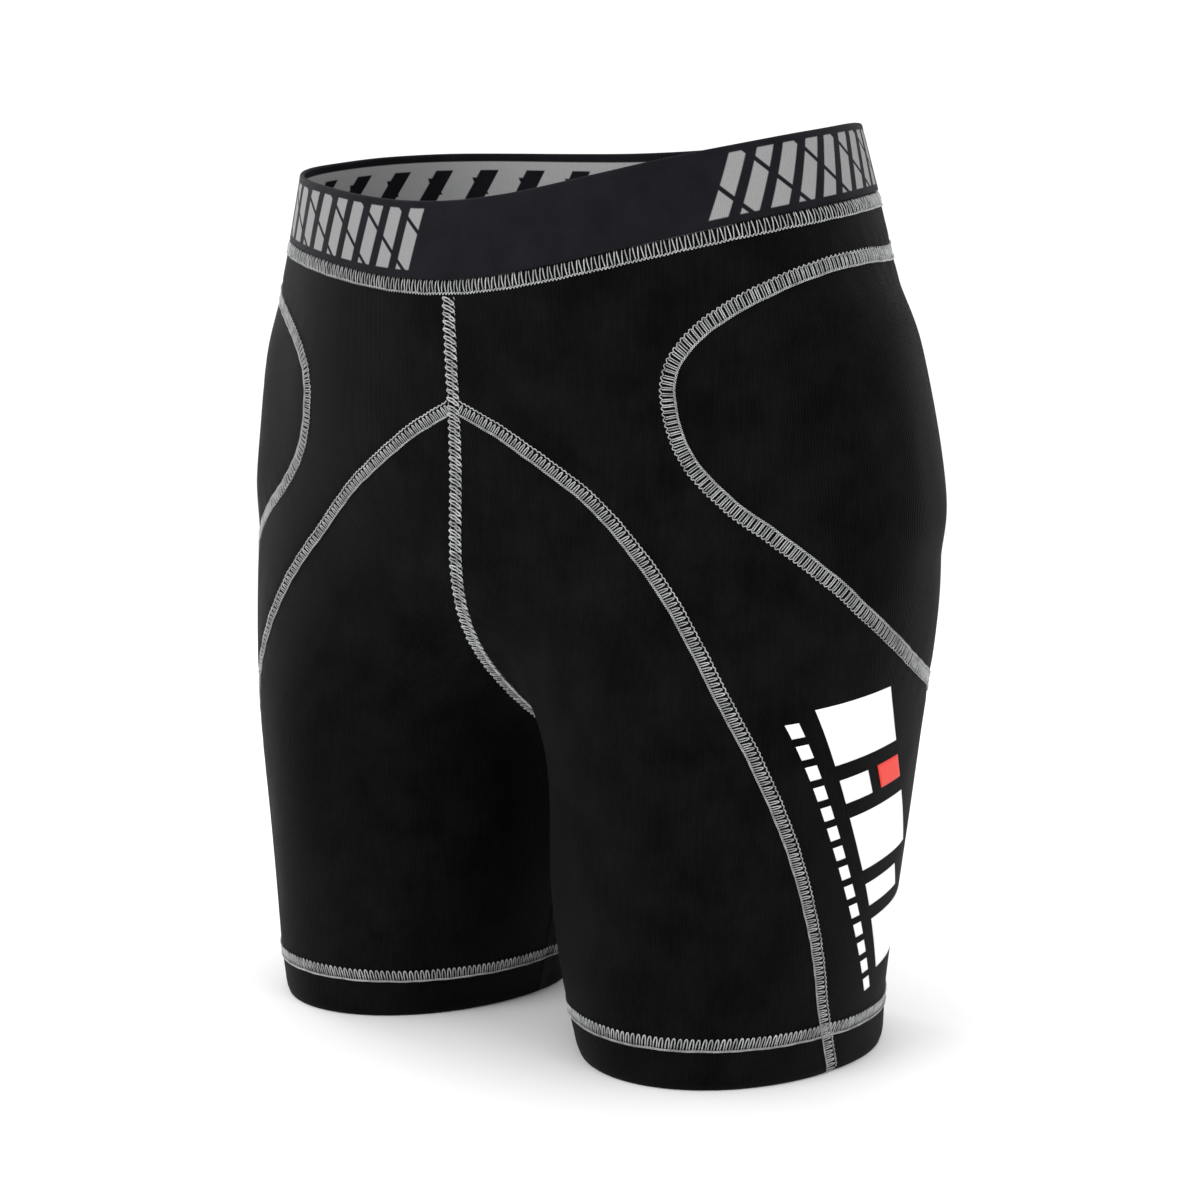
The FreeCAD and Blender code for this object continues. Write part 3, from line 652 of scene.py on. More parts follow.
def outline_edges(quads):
    """Directed edges that belong to only one quad."""
    edges = np.concatenate([quads[:, [k, (k + 1) % 4]] for k in range(4)])
    ordered = np.sort(edges, axis=1)
    _, index, counts = np.unique(ordered, axis=0, return_index=True, return_counts=True)
    return edges[index[counts == 1]]


def way_out(points):
    ways = slope_at(points)
    ways[points[:, 2] == 0, 2] = 0
    return unit(ways)


# ---------------------------------------------------------------- cloth relief

FOLDS = [                  # wavelength in mm, height in mm
    (150, 0.9), (110, 0.7), (78, 0.5), (57, 0.32), (41, 0.2), (31, 0.12),
]
FOLD_WAYS = unit(RANDOM.normal(size=(len(FOLDS), 3)) * np.array([1, 1, 0.7]))
FOLD_PHASES = RANDOM.uniform(0, 2 * math.pi, len(FOLDS))
CALM_FOOT = 30             # folds fade out below this height, and towards the waistband
CALM_TOP = 395
CALM_FADE = 40
SEAM_DIP = 0.55            # how far a seam pulls the cloth in, and over what reach
SEAM_REACH = 5.5
PUCKER = 0.3
PUCKER_PITCH = 11.0
PUCKER_REACH = 8.0
PUCKER_CLEAR = 3.5         # flat under the stitching
PUCKER_DRIFT = 1.7
PUCKER_DRIFT_SPAN = 17.0
HEM_ROLL = 0.9
HEM_ROLL_HEIGHT = 5.0
WEAVE_RADIUS = 95          # of the leg or body, for measuring round it

SEAM_LINES = [FRONT_SEAM, UNDER_SEAM, SEAT_SEAM]
for seam_line in (THIGH, SIDE_BACK, HIP, TAIL, INNER):
    SEAM_LINES += [seam_line, flip(seam_line)]
SEAM_POINTS = np.vstack(SEAM_LINES)
SEAM_LENGTHS = np.concatenate([lengths_along(seam_line) for seam_line in SEAM_LINES])
SEAM_TREE = make_tree(SEAM_POINTS)


def seam_relief(points):
    """Dip along the seams and the small puckers beside them."""
    found = [SEAM_TREE.find(place) for place in points.tolist()]
    gap = np.array([item[2] for item in found])
    length = SEAM_LENGTHS[np.array([item[1] for item in found])]
    dip = -SEAM_DIP * np.exp(-(gap / SEAM_REACH) ** 2)
    drift = PUCKER_DRIFT * np.sin(length / PUCKER_DRIFT_SPAN)
    wave = np.sin(length * 2 * math.pi / PUCKER_PITCH + drift)
    fade = np.exp(-gap / PUCKER_REACH) * (1 - np.exp(-(gap / PUCKER_CLEAR) ** 2))
    return dip + PUCKER * wave * fade


def relief(points):
    """Height of the cloth's own shape over the outline: soft folds, seams that pull it in, hem."""
    flat = points.reshape(-1, 3)
    rise = np.zeros(len(flat))
    for (wavelength, height), way, phase in zip(FOLDS, FOLD_WAYS, FOLD_PHASES):
        rise += height * 0.5 * np.sin(flat @ way * 2 * math.pi / wavelength + phase)
    z = flat[:, 2]
    rise *= ease(z / CALM_FOOT) * ease((CALM_TOP - z) / CALM_FADE)
    rise += seam_relief(flat)
    rise -= HEM_ROLL * np.clip(1 - z / HEM_ROLL_HEIGHT, 0, 1) ** 2
    return rise.reshape(points.shape[:-1])


def weave_place(points):
    """Place on the cloth in millimetres, round the leg and up it, for the knit pattern."""
    section = station(points[:, 2])
    side = np.where(points[:, 0] < 0, -1.0, 1.0)
    turn = np.arctan2((points[:, 1] - section[:, 2]) / WEAVE_RADIUS,
                      (points[:, 0] * side - section[:, 0]) / WEAVE_RADIUS)
    return np.stack([turn * WEAVE_RADIUS * side, points[:, 2], np.zeros(len(points))], axis=1)


def set_attribute(thing, name, vectors, domain="POINT"):
    attribute = thing.data.attributes.new(name, "FLOAT_VECTOR", domain)
    attribute.data.foreach_set("vector", vectors.astype(np.float32).ravel())


# ---------------------------------------------------------------- cloth simulation

CLOTH_FRAMES = 20
CLOTH_CAP = 3.0
CLOTH_SETTINGS = {
    "quality": 6, "mass": 0.25, "tension_stiffness": 18, "compression_stiffness": 18,
    "shear_stiffness": 6, "bending_stiffness": 1.2, "use_pressure": True,
}
HELD_BORDER = 3            # width of the border that stays put, and how far the hold fades
HELD_FADE = 9
NEIGHBOURS = 8
NEAR_SPAN = 2


def simulate(thing, pinned, pressure, cap):
    """Runs cloth on the mesh with its border held, and caps how far any point moves, in mm."""
    before = vertex_places(thing)
    if pinned is not None:
        group = thing.vertex_groups.new(name="held")
        for number, weight in enumerate(pinned):
            if weight > 0:
                group.add([number], float(weight), "REPLACE")
    cloth = thing.modifiers.new("cloth", "CLOTH")
    settings = cloth.settings
    if pinned is not None:
        settings.vertex_group_mass = "held"
    for key, value in CLOTH_SETTINGS.items():
        setattr(settings, key, value)
    settings.uniform_pressure_force = pressure
    settings.effector_weights.gravity = 0
    cloth.collision_settings.use_collision = False
    cloth.point_cache.frame_start = 1
    cloth.point_cache.frame_end = CLOTH_FRAMES
    scene = bpy.context.scene
    for frame_number in range(1, CLOTH_FRAMES + 1):
        scene.frame_set(frame_number)
    ready = thing.evaluated_get(bpy.context.evaluated_depsgraph_get())
    after = np.zeros(len(before) * 3, np.float32)
    ready.data.vertices.foreach_get("co", after)
    moved = after.reshape(-1, 3) - before
    size = np.linalg.norm(moved, axis=1, keepdims=True)
    moved *= np.minimum(1, cap * MM / np.maximum(size, SMALL))
    thing.modifiers.remove(cloth)
    thing.data.vertices.foreach_set("co", (before + moved).astype(np.float32).ravel())
    thing.data.update()
    scene.frame_set(1)


def vertex_places(thing):
    places = np.zeros(len(thing.data.vertices) * 3, np.float32)
    thing.data.vertices.foreach_get("co", places)
    return places.reshape(-1, 3).astype(float)


def carried(known, values, points):
    """Values known at some places, smoothly carried to others near them."""
    tree = make_tree(known)
    found = [tree.find_n(place, NEIGHBOURS) for place in points.tolist()]
    near = np.array([[item[1] for item in row] for row in found])
    gap = np.array([[item[2] for item in row] for row in found])
    share = 1 / (gap ** 2 + NEAR_SPAN ** 2) ** 2
    return (values[near] * share).sum(axis=1) / share.sum(axis=1)


def swell(grids, points, pressure, cap):
    """How far a held panel bulges along its normals under light pressure, in mm.
    Cloth is run on every second line of its grids."""
    coarse, quads = weld([grid[::2, ::2] for grid in grids])
    tree = make_tree(coarse[np.unique(outline_edges(quads))])
    gap = np.array([tree.find(place)[2] for place in coarse.tolist()])
    held = 1 - ease((gap - HELD_BORDER) / HELD_FADE)
    thing = make_object("cloth_under_test", coarse, quads)
    simulate(thing, held, pressure, cap)
    moved = vertex_places(thing) - to_frame(coarse)
    mesh = thing.data
    bpy.data.objects.remove(thing)
    bpy.data.meshes.remove(mesh)
    return carried(coarse, (moved * way_out(coarse)).sum(axis=1) / MM, points)


def subdivide(thing):
    """Applies one smooth subdivision to the object's mesh."""
    thing.modifiers.new("round", "SUBSURF").levels = 1
    ready = thing.evaluated_get(bpy.context.evaluated_depsgraph_get())
    fine = bpy.data.meshes.new_from_object(ready)
    coarse = thing.data
    thing.modifiers.clear()
    thing.data = fine
    bpy.data.meshes.remove(coarse)
    fine.name = thing.name


# ---------------------------------------------------------------- sheets and panels


def shell(name, points, quads, top, base, material):
    """Closed mesh between two lifts over the points, and how many of its faces aren't walls."""
    ways = way_out(points)
    edges = outline_edges(quads)
    count = len(points)
    walls = np.stack([edges[:, 1], edges[:, 0], edges[:, 0] + count, edges[:, 1] + count], axis=1)
    places = np.vstack([points + ways * top[:, None], points + ways * base[:, None]])
    faces = np.vstack([quads, quads[:, ::-1] + count, walls])
    return make_object(name, places, faces, material), 2 * len(quads)


def sheet_object(name, grids, outer, thickness, material, shape=relief, bulge=None):
    """Closed cloth whose outer face lies at outer over the outline, plus its relief."""
    points, quads = weld(grids)
    lift = outer(points) if callable(outer) else np.full(len(points), float(outer))
    if shape is not None:
        lift = lift + shape(points)
    if bulge is not None:
        lift = lift + swell(grids, points, *bulge)
    thing, broad = shell(name, points, quads, lift, lift - thickness, material)
    thing.data.polygons.foreach_set("use_smooth", np.arange(len(thing.data.polygons)) < broad)
    places = weave_place(points)
    set_attribute(thing, "weave", np.vstack([places, places]))
    return thing


def settle(thing, node):
    """The piece stands in for its CAD node, which is hidden, and rides with the root body."""
    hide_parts(node)
    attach(thing, "root")


SIDES = ((1, "_left"), (-1, "_right"))
MIDDLE_ONLY = ((1, ""),)


def make_pieces(base, make, word="cloth", sides=SIDES):
    """Makes a piece for each side of the wearer, or one in the middle, and settles it."""
    for side, end in sides:
        settle(make(f"{base}{end}_{word}", side), base + end)


def on_side_of(grids, side):
    return grids if side > 0 else [flip(grid) for grid in grids]


# ---------------------------------------------------------------- stitches

THREAD_RADIUS = 0.33       # of bulked thread, and of a single fine thread
THREAD_SINK = 0.25         # how deep a rung's ends go into the cloth
FINE_RADIUS = 0.21
TUBE_SIDES = 5


class Course:
    """Line on the outline, on which stitches are laid by lengths along and to its left.
    With side -1 they are laid on the mirror image of the line."""

    def __init__(self, line, closed=False, side=1):
        self.side = np.array([side, 1, 1])
        self.line = line
        self.lengths = lengths_along(line)
        self.total = self.lengths[-1]
        self.ways = ways_along(line)
        self.closed = closed
        if closed:
            self.ways[0] = self.ways[-1] = unit(line[1] - line[-2])

    def pick(self, values, along):
        return np.stack([np.interp(along, self.lengths, values[:, k]) for k in range(3)], axis=-1)

    def place(self, along, across, lift):
        """Points and their outward ways."""
        along = along % self.total if self.closed else np.clip(along, 0, self.total)
        base = self.pick(self.line, along)
        way = unit(self.pick(self.ways, along))
        side = np.cross(unit(slope_at(base)), way)
        points = snap(base + side * across[..., None], 1)
        out = unit(slope_at(points)) * self.side
        points = points * self.side
        return points + out * (lift + relief(points))[..., None], out


def tube_mesh(points, out, radius, closed):
    """Points, faces and twist of tubes along strands, whose points and outward ways come by
    strand and step. The twist holds a point's length along, its turn round, and chance."""
    count, steps = points.shape[:2]
    way = ways_along(points)
    across = unit(np.cross(way, out))
    up = np.cross(across, way)
    turns = -math.pi / 2 + 2 * math.pi * (np.arange(TUBE_SIDES) + 0.5) / TUBE_SIDES
    radius = np.broadcast_to(radius, points.shape[:2])[..., None, None]
    ring = across[:, :, None] * np.cos(turns)[:, None] + up[:, :, None] * np.sin(turns)[:, None]
    tube = points[:, :, None] + ring * radius
    ids = np.arange(count * steps * TUBE_SIDES).reshape(count, steps, TUBE_SIDES)
    after = np.roll(ids, -1, axis=2)
    quads = np.stack([ids[:, :-1], after[:, :-1], after[:, 1:], ids[:, 1:]], axis=-1)
    faces = quads.reshape(-1, 4).tolist()
    if closed:
        ends = np.stack([ids[:, -1], after[:, -1], after[:, 0], ids[:, 0]], axis=-1)
        faces += ends.reshape(-1, 4).tolist()
    else:
        faces += ids[:, 0, ::-1].tolist()
        faces += ids[:, -1].tolist()
    twist = np.zeros((count, steps, TUBE_SIDES, 3))
    twist[..., 0] = lengths_along(points)[..., None]
    twist[..., 1] = np.arange(TUBE_SIDES) / TUBE_SIDES
    twist[..., 2] = RANDOM.uniform(0, 1, count)[:, None, None]
    return tube.reshape(-1, 3), faces, twist.reshape(-1, 3)


def thread_object(name, groups, material):
    """One mesh of thread. Each group of strands has points, outward ways, radius and closed."""
    points, faces, twists = [], [], []
    offset = 0
    for group in groups:
        place, face, twist = tube_mesh(*group)
        points.append(place)
        faces += [[k + offset for k in corners] for corners in face]
        twists.append(twist)
        offset += len(place)
    thing = make_object(name, np.vstack(points), faces, material)
    set_attribute(thing, "twist", np.vstack(twists))
    return thing


def centres(course, pitch, span):
    """Lengths along a course of the middles of stitches that fill it, or the span of it."""
    start, end = span if span else (0, course.total)
    count = int((end - start) / pitch)
    return start + (end - start) / count * (np.arange(count) + 0.5)


def jitter(size, shape):
    return RANDOM.normal(0, size, shape)


def rungs(course, pitch, foot, head, slant, span=None, pair_gap=0.0, arch=0.3, lean=0.0,
          radius=THREAD_RADIUS, steps=7):
    """Threads laid across a course: each runs from foot to head, in pairs if pair_gap is set.
    slant moves the head along, and lean alternates that."""
    centre = centres(course, pitch, span)
    count = len(centre)
    centre = centre + jitter(0.07, count)
    slants = slant + lean * np.where(np.arange(count) % 2, 1, -1) + jitter(0.08, count)
    share = np.linspace(0, 1, steps)
    groups = []
    for move in ([-pair_gap / 2, pair_gap / 2] if pair_gap else [0]):
        nudge = jitter(0.07, (count, 1))
        along = centre[:, None] + move + slants[:, None] * (share - 0.5) + nudge
        across = foot + (head - foot) * share + jitter(0.06, (count, 1))
        hump = np.sin(math.pi * share) ** 0.6
        lift = -THREAD_SINK + (arch + 0.35 + jitter(0.03, (count, 1))) * hump
        points, out = course.place(along, across, lift)
        groups.append((points, out, radius * (1 + jitter(0.05, (count, 1))), False))
    return groups


def chain(course, pitch, across, width, span=None, lift=0.3, radius=THREAD_RADIUS * 0.85,
          strands=2, samples=6, flat=0.6):
    """Twisted run of thread along a course."""
    start, end = span if span else (0, course.total)
    turns = max(int((end - start) / pitch), 1)
    steps = turns * samples
    share = np.arange(steps + (0 if course.closed else 1)) / steps
    along = start + (end - start) * share
    wander = 0.08 * np.sin(along / 3.7) + 0.06 * np.sin(along / 1.9 + 1)
    groups = []
    for k in range(strands):
        turn = 2 * math.pi * (turns * share + k / strands)
        side = across + wander + width * np.sin(turn)
        height = lift + width * flat * np.cos(turn)
        points, out = course.place(along[None], side[None], height[None])
        groups.append((points, out, radius, course.closed))
    return groups


def hooks(course, pitch, foot, head, slant, span=None, width=0.9, arch=0.35,
          radius=THREAD_RADIUS, steps=11):
    """Arched loops: each rises from the foot, turns over at the head and comes back down."""
    centre = centres(course, pitch, span)
    count = len(centre)
    centre = centre + jitter(0.08, count)
    turn = np.linspace(0, math.pi, steps)
    rise = np.sin(turn) ** 0.5
    swing = -np.cos(turn)
    along = centre[:, None] + width * swing + slant * rise + jitter(0.06, (count, 1))
    across = foot + (head - foot) * rise + jitter(0.07, (count, 1)) * rise
    lift = -0.2 + (arch + 0.3) * rise ** 0.5 + 0 * along
    points, out = course.place(along, across, lift)
    return [(points, out, radius, False)]


# ---------------------------------------------------------------- materials


class Look:
    """A node material, built from the socket that gives its surface back to its patterns."""

    def __init__(self, name):
        self.material = bpy.data.materials.new(name)
        self.material.use_nodes = True
        self.tree = self.material.node_tree
        self.surface = self.tree.nodes["Principled BSDF"]

    def add(self, kind, inputs=None, **settings):
        node = self.tree.nodes.new("ShaderNode" + kind)
        for key, value in settings.items():
            setattr(node, key, value)
        for key, value in (inputs or {}).items():
            self.put(node.inputs[key], value)
        return node

    def put(self, socket, value):
        if isinstance(value, bpy.types.Node):
            value = value.outputs[0]
        if isinstance(value, bpy.types.NodeSocket):
            self.tree.links.new(value, socket)
        else:
            socket.default_value = value

    def math(self, operation, *values):
        node = self.add("Math", operation=operation)
        for socket, value in zip(node.inputs, values):
            self.put(socket, value)
        return node.outputs[0]

    def plus(self, first, second):
        return self.math("ADD", first, second)

    def minus(self, first, second):
        return self.math("SUBTRACT", first, second)

    def times(self, first, second):
        return self.math("MULTIPLY", first, second)

    def wave(self, value, pitch):
        return self.math("SINE", self.times(value, 2 * math.pi / pitch))

    def tooth(self, value):
        """Distance of value from the middle between whole numbers."""
        return self.math("ABSOLUTE", self.minus(self.math("FRACT", value), 0.5))

    def mix(self, share, first, second):
        node = self.add("Mix", data_type="RGBA")
        self.put(node.inputs[0], share)
        self.put(node.inputs[6], first)
        self.put(node.inputs[7], second)
        return node.outputs[2]

    def attribute(self, name):
        node = self.add("Attribute", attribute_name=name)
        parts = self.add("SeparateXYZ", {0: node.outputs["Vector"]})
        return node.outputs["Vector"], parts.outputs[0], parts.outputs[1], parts.outputs[2]

    def place(self):
        return self.add("TexCoord").outputs["Object"]

    def noise(self, scale, detail=2.0, rough=0.5, vector=None):
        node = self.add("TexNoise", {"Scale": scale, "Detail": detail, "Roughness": rough})
        self.put(node.inputs["Vector"], vector if vector else self.place())
        return node.outputs["Fac"]

    def spread(self, value, low, high, to_low=0.0, to_high=1.0):
        node = self.add("MapRange", {0: value, 1: low, 2: high, 3: to_low, 4: to_high})
        return node.outputs[0]

    def bump(self, height, depth, strength=1.0, after=None):
        node = self.add("Bump", {"Strength": strength, "Distance": depth, "Height": height})
        if after is not None:
            self.put(node.inputs["Normal"], after)
        return node.outputs["Normal"]

    def finish(self, colour, roughness, normal, **values):
        self.put(self.surface.inputs["Base Color"], colour)
        self.put(self.surface.inputs["Roughness"], roughness)
        self.put(self.surface.inputs["Normal"], normal)
        for key, value in values.items():
            self.put(self.surface.inputs[key.replace("_", " ")], value)
        return self.material


def grey(level, blue=0.0):
    return (level, level * (1 + blue / 2), level * (1 + blue), 1)


WALE = 0.95                # pitch of the knit across and up, in mm
KNIT_COURSE = 0.75
THREAD_TWIST = 0.55


def knit_look(name, dark, light, depth=0.00012):
    """Fine knitted fabric: upright wales of small V stitches with painted shade in their grooves, fuzz
    and a soft sheen.
    """
    look = Look(name)
    _, u, v, _ = look.attribute("weave")
    side = look.tooth(look.math("DIVIDE", u, WALE))
    climb = look.plus(look.math("DIVIDE", v, KNIT_COURSE), look.times(side, 1.5))
    loop = look.tooth(climb)
    ridge = look.math("COSINE", look.times(side, 2 * math.pi))
    height = look.plus(look.times(ridge, 0.5), look.times(loop, 0.9))
    fuzz = look.noise(5200, 3, 0.7)
    cloud = look.noise(38, 3, 0.6)
    streak = look.add("Mapping", {"Vector": look.place(), "Scale": (1.0, 1.0, 0.06)})
    grain = look.noise(900, 2, 0.6, streak.outputs[0])
    tone = look.plus(look.spread(grain, 0.35, 0.65, -0.14, 0.14), look.spread(cloud, 0.3, 0.7))
    # The stitch height also sets the colour: lighter on the crests of the loops and darker in the
    # grooves between them, which is painted shade and light rather than a change of yarn.
    tone = look.plus(tone, look.spread(height, 0, 0.9, -0.38, 0.26))
    colour = look.mix(look.spread(tone, -0.2, 1.2), dark, light)
    normal = look.bump(height, depth, 0.8)
    normal = look.bump(fuzz, 0.00009, 0.7, normal)
    rough = look.spread(cloud, 0.3, 0.7, 0.56, 0.68)
    return look.finish(
        colour, rough, normal, Specular_IOR_Level=0.03, Sheen_Weight=0.02, Sheen_Roughness=0.4,
        Sheen_Tint=(0.85, 0.88, 0.92, 1))


def thread_look(name, dark, light):
    """Two-ply bulked thread with loose fibres, whose plies turn with the twist attribute, with painted
    shade in the grooves between the plies.
    """
    look = Look(name)
    _, length, turn, chance = look.attribute("twist")
    ply = look.plus(look.times(length, 1 / THREAD_TWIST), look.times(turn, 2))
    strand = look.tooth(ply)
    fibre = look.noise(9000, 3, 0.7)
    dust = look.noise(260, 3, 0.6)
    # The ply pattern also sets the colour: each ply is painted lighter on its crest and darker in the
    # groove beside it, which is painted shade.
    tone = look.plus(look.times(strand, 1.1), look.spread(fibre, 0.3, 0.7, -0.2, 0.3))
    tone = look.plus(tone, look.spread(dust, 0.3, 0.7, -0.15, 0.2))
    tone = look.plus(tone, look.times(chance, 0.18))
    colour = look.mix(look.spread(tone, 0, 1), dark, light)
    normal = look.bump(strand, 0.00012, 0.9)
    normal = look.bump(fibre, 0.00008, 0.8, normal)
    return look.finish(
        colour, 0.72, normal, Specular_IOR_Level=0.2, Sheen_Weight=0.1, Sheen_Roughness=0.5)


KNIT = knit_look("knit", grey(0.0004), grey(0.0052, 0.04), 0.00018)
KNIT_INSIDE = knit_look("knit_inside", grey(0.003), grey(0.008))
GREY_THREAD = thread_look("grey_thread", grey(0.05, 0.03), grey(0.74, 0.02))
BLACK_THREAD = thread_look("black_thread", grey(0.006), grey(0.022))

BAND_HEIGHT = WAIST_TOP[0] - WAIST_SEAM[0]
BAR_PITCH = 13.5           # of the woven bars; slants are along for each millimetre up
BAR_COUNT = 10
BAR = {"count": BAR_COUNT, "pitch": BAR_PITCH, "width": 9.0, "low": 3.3, "high": 28.7,
       "slant": 0.4}
BAR_CUT = {"count": BAR_COUNT, "pitch": BAR_PITCH * 2, "width": 3.4, "low": 0, "high": 40,
           "slant": -1.1}
BAR_CUT_START = 22
INSIDE_BAR = {"first": -600, "count": 60, "pitch": 26, "width": 11, "low": 6, "high": 23,
              "slant": -0.5}
INSIDE_DOT = {"first": -585.5, "count": 59, "pitch": 26, "width": 6, "low": 10, "high": 19,
              "slant": 0.5}
INSIDE_FIELD = (-5, BAND_HEIGHT - 4.5)       # its foot and top
OUTSIDE_BARS = [-154, 123, 400, -432]        # where each row of woven bars starts round the band
DARK_YARN = (0.0052, 0.0046, 0.0066, 1), (0.0082, 0.0074, 0.0104, 1)


def weave_height(look, u, v, warp, weft):
    """Ribbed weave of an elastic: upright warp cords crossed by fine picks."""
    cords = look.wave(u, warp)
    checks = look.times(cords, look.wave(v, weft))
    return look.plus(look.times(checks, 0.35), look.times(cords, 0.25))


def inside_range(look, value, low, high, soft):
    """1 where value lies between low and high."""
    up = look.spread(value, low - soft, low + soft)
    down = look.spread(value, high - soft, high + soft, 1, 0)
    return look.times(up, down)


def bars(look, u, v, first, count, pitch, width, low, high, slant):
    """Mask of a row of slanted bars."""
    place = look.minus(look.minus(u, first), look.times(v, slant))
    part = look.times(look.math("FRACT", look.math("DIVIDE", place, pitch)), pitch)
    bar = inside_range(look, part, 0.35, width - 0.35, 0.3)
    row = inside_range(look, place, 0, pitch * count, 0.1)
    tall = inside_range(look, v, low, high, 0.25)
    return look.times(look.times(bar, row), tall)


def elastic_look(name, inside=False, plain=False):
    """Woven elastic, with its bars outside, its pale field inside painted lighter against the shade
    there, or plain.
    """
    look = Look(name)
    _, u, v, _ = look.attribute("band")
    height = weave_height(look, u, v, 0.8, 0.7)
    fuzz = look.noise(5200, 3, 0.7)
    cloud = look.noise(60, 3, 0.6)
    dark = look.mix(look.spread(cloud, 0.3, 0.7), *DARK_YARN)
    # The inside's pale yarn is painted lighter than the outside's: painted light that makes up for the
    # shade inside the band.
    low, high = (0.32, 0.48) if inside else (0.22, 0.36)
    pale = look.mix(look.spread(fuzz, 0.3, 0.7), grey(low), grey(high, 0.02))
    if plain:
        mask = 0.0
    elif inside:
        field = inside_range(look, v, *INSIDE_FIELD, 0.3)
        shapes = bars(look, u, v, **INSIDE_BAR)
        dots = bars(look, u, v, **INSIDE_DOT)
        cut = look.minus(1, look.math("MAXIMUM", shapes, dots))
        mask = look.times(field, cut)
    else:
        mask = None
        for first in OUTSIDE_BARS:
            row = bars(look, u, v, first, **BAR)
            cut = bars(look, u, v, first + BAR_CUT_START, **BAR_CUT)
            row = look.times(row, look.minus(1, cut))
            mask = row if mask is None else look.math("MAXIMUM", mask, row)
    thread = look.times(look.spread(height, -0.5, 0.5), 0.35)
    worn = look.times(mask, look.minus(1, thread))
    colour = look.mix(worn, dark, pale)
    normal = look.bump(height, 0.00013, 0.8)
    normal = look.bump(fuzz, 0.00006, 0.6, normal)
    normal = look.bump(mask, 0.00012, 0.8, normal)
    return look.finish(
        colour, 0.62, normal, Specular_IOR_Level=0.05, Sheen_Weight=0.012, Sheen_Roughness=0.4,
        Sheen_Tint=(0.8, 0.85, 0.95, 1))


def mesh_look():
    """Open warp-knit lining: rows of small holes, painted near black as shade in the openings."""
    look = Look("mesh_lining")
    vector, *_ = look.attribute("weave")
    cells = look.add("TexVoronoi", {"Vector": vector, "Scale": 0.42, "Randomness": 0.12})
    holes = look.spread(cells.outputs["Distance"], 0.22, 0.42)
    fuzz = look.noise(4200, 2, 0.6)
    # The holes are only painted: their near-black colour is painted shade in the openings, and the bump
    # presses them in.
    colour = look.mix(holes, grey(0.004), grey(0.028, 0.05))
    normal = look.bump(holes, 0.0004, 0.9)
    normal = look.bump(fuzz, 0.00008, 0.6, normal)
    return look.finish(colour, 0.7, normal, Specular_IOR_Level=0.3, Sheen_Weight=0.2)


def foam_look():
    look = Look("pad_foam")
    cells = look.add("TexVoronoi", {"Vector": look.place(), "Scale": 1400.0})
    cloud = look.noise(90, 3, 0.6)
    colour = look.mix(look.spread(cloud, 0.3, 0.7), grey(0.03, 0.05), grey(0.05, 0.05))
    normal = look.bump(cells.outputs["Distance"], 0.00015, 0.8)
    return look.finish(colour, 0.8, normal, Specular_IOR_Level=0.25)


def film_look(name, colour, worn):
    """Heat-transfer film: the knit shows through it, and it is a little rubbed and cracked."""
    look = Look(name)
    _, u, v, _ = look.attribute("weave")
    knit = look.times(look.wave(u, WALE), look.wave(v, KNIT_COURSE))
    grain = look.noise(2600, 3, 0.7)
    cloud = look.noise(70, 3, 0.6)
    rubbed = look.times(look.spread(grain, 0.6, 0.75), look.spread(cloud, 0.45, 0.7))
    tone = look.mix(look.times(rubbed, 0.35), colour, worn)
    normal = look.bump(knit, 0.00006, 0.5)
    normal = look.bump(grain, 0.00004, 0.6, normal)
    rough = look.spread(cloud, 0.3, 0.7, 0.42, 0.55)
    return look.finish(tone, rough, normal, Specular_IOR_Level=0.4)


ELASTIC = elastic_look("elastic")
ELASTIC_INSIDE = elastic_look("elastic_inside", inside=True)
ELASTIC_PLAIN = elastic_look("elastic_plain", plain=True)
MESH = mesh_look()
FOAM = foam_look()
WHITE_FILM = film_look("print_white", (0.86, 0.86, 0.85, 1), (0.55, 0.55, 0.55, 1))
RED_FILM = film_look("print_red", (0.72, 0.035, 0.02, 1), (0.4, 0.03, 0.02, 1))

# ---------------------------------------------------------------- fabric pieces

PANEL_BULGE = (0.6, CLOTH_CAP)


def sheets(base, slot, grids, sheet, *layer, bulge=None, sides=SIDES):
    """Cloth pieces; layer is the outer face's lift, the thickness and the material."""
    def make(name, side):
        return sheet_object(name, on_side_of(grids, side), *(layer or PANEL), bulge=bulge)

    make_pieces(base, make, sides=sides)


PANEL = (0.0, FABRIC, KNIT)
sheets("front_side_panel", "knit", front_side_grids(), ((0.27, 0.47), "waistband", 0.049))
sheets("front_thigh_panel", "knit", front_thigh_grids(), ((0.28, 0.33), "waistband", 0.050))
sheets("back_panel", "knit", back_grids(), ((0.26, 0.46), "waistband", 0.056))
sheets("hip_panel", "knit", o_grid(hip_sides(SEAM_GAP), (12, 18)),
       ((0.19, 0.23), "waistband", 0.038), bulge=PANEL_BULGE)
sheets("tailbone_panel", "knit", tail_grids(SEAM_GAP), ((0.09, 0.15), "waistband", 0.0105),
       bulge=PANEL_BULGE, sides=MIDDLE_ONLY)


def leg_ring_grids(low, high):
    """Patches round one leg between two heights."""
    grids = []
    for k in range(4):
        quarter = FRONT_ANGLE + 90 * k, FRONT_ANGLE + 90 * (k + 1)
        grids.append(ring_patch(leg_line(low, *quarter), leg_line(high, *quarter), 3, 18))
    return grids


HEM_FOLD_FOOT = 0.4
HEM_FOLD_TOP = HEM_STITCH_FOOT + 3
sheets("hem_fold", "knit", leg_ring_grids(HEM_FOLD_FOOT, HEM_FOLD_TOP),
       ((0.5, 0.022), "back_panel_left", None), PAD_LIFT, HEM_FOLD, KNIT_INSIDE)

DISH_END = 1.45            # the lining dishes in under a pad from this reach
DISH_FADE = 0.4
LINING_INSET = 4


def lining_face(reach_of):
    """Lift of a lining's outer face, which passes under its pad."""
    depth = PAD_MIDDLE + LAYER_GAP

    def face(points):
        return PAD_LIFT - depth * ease((DISH_END - reach_of(points)) / DISH_FADE)

    return face


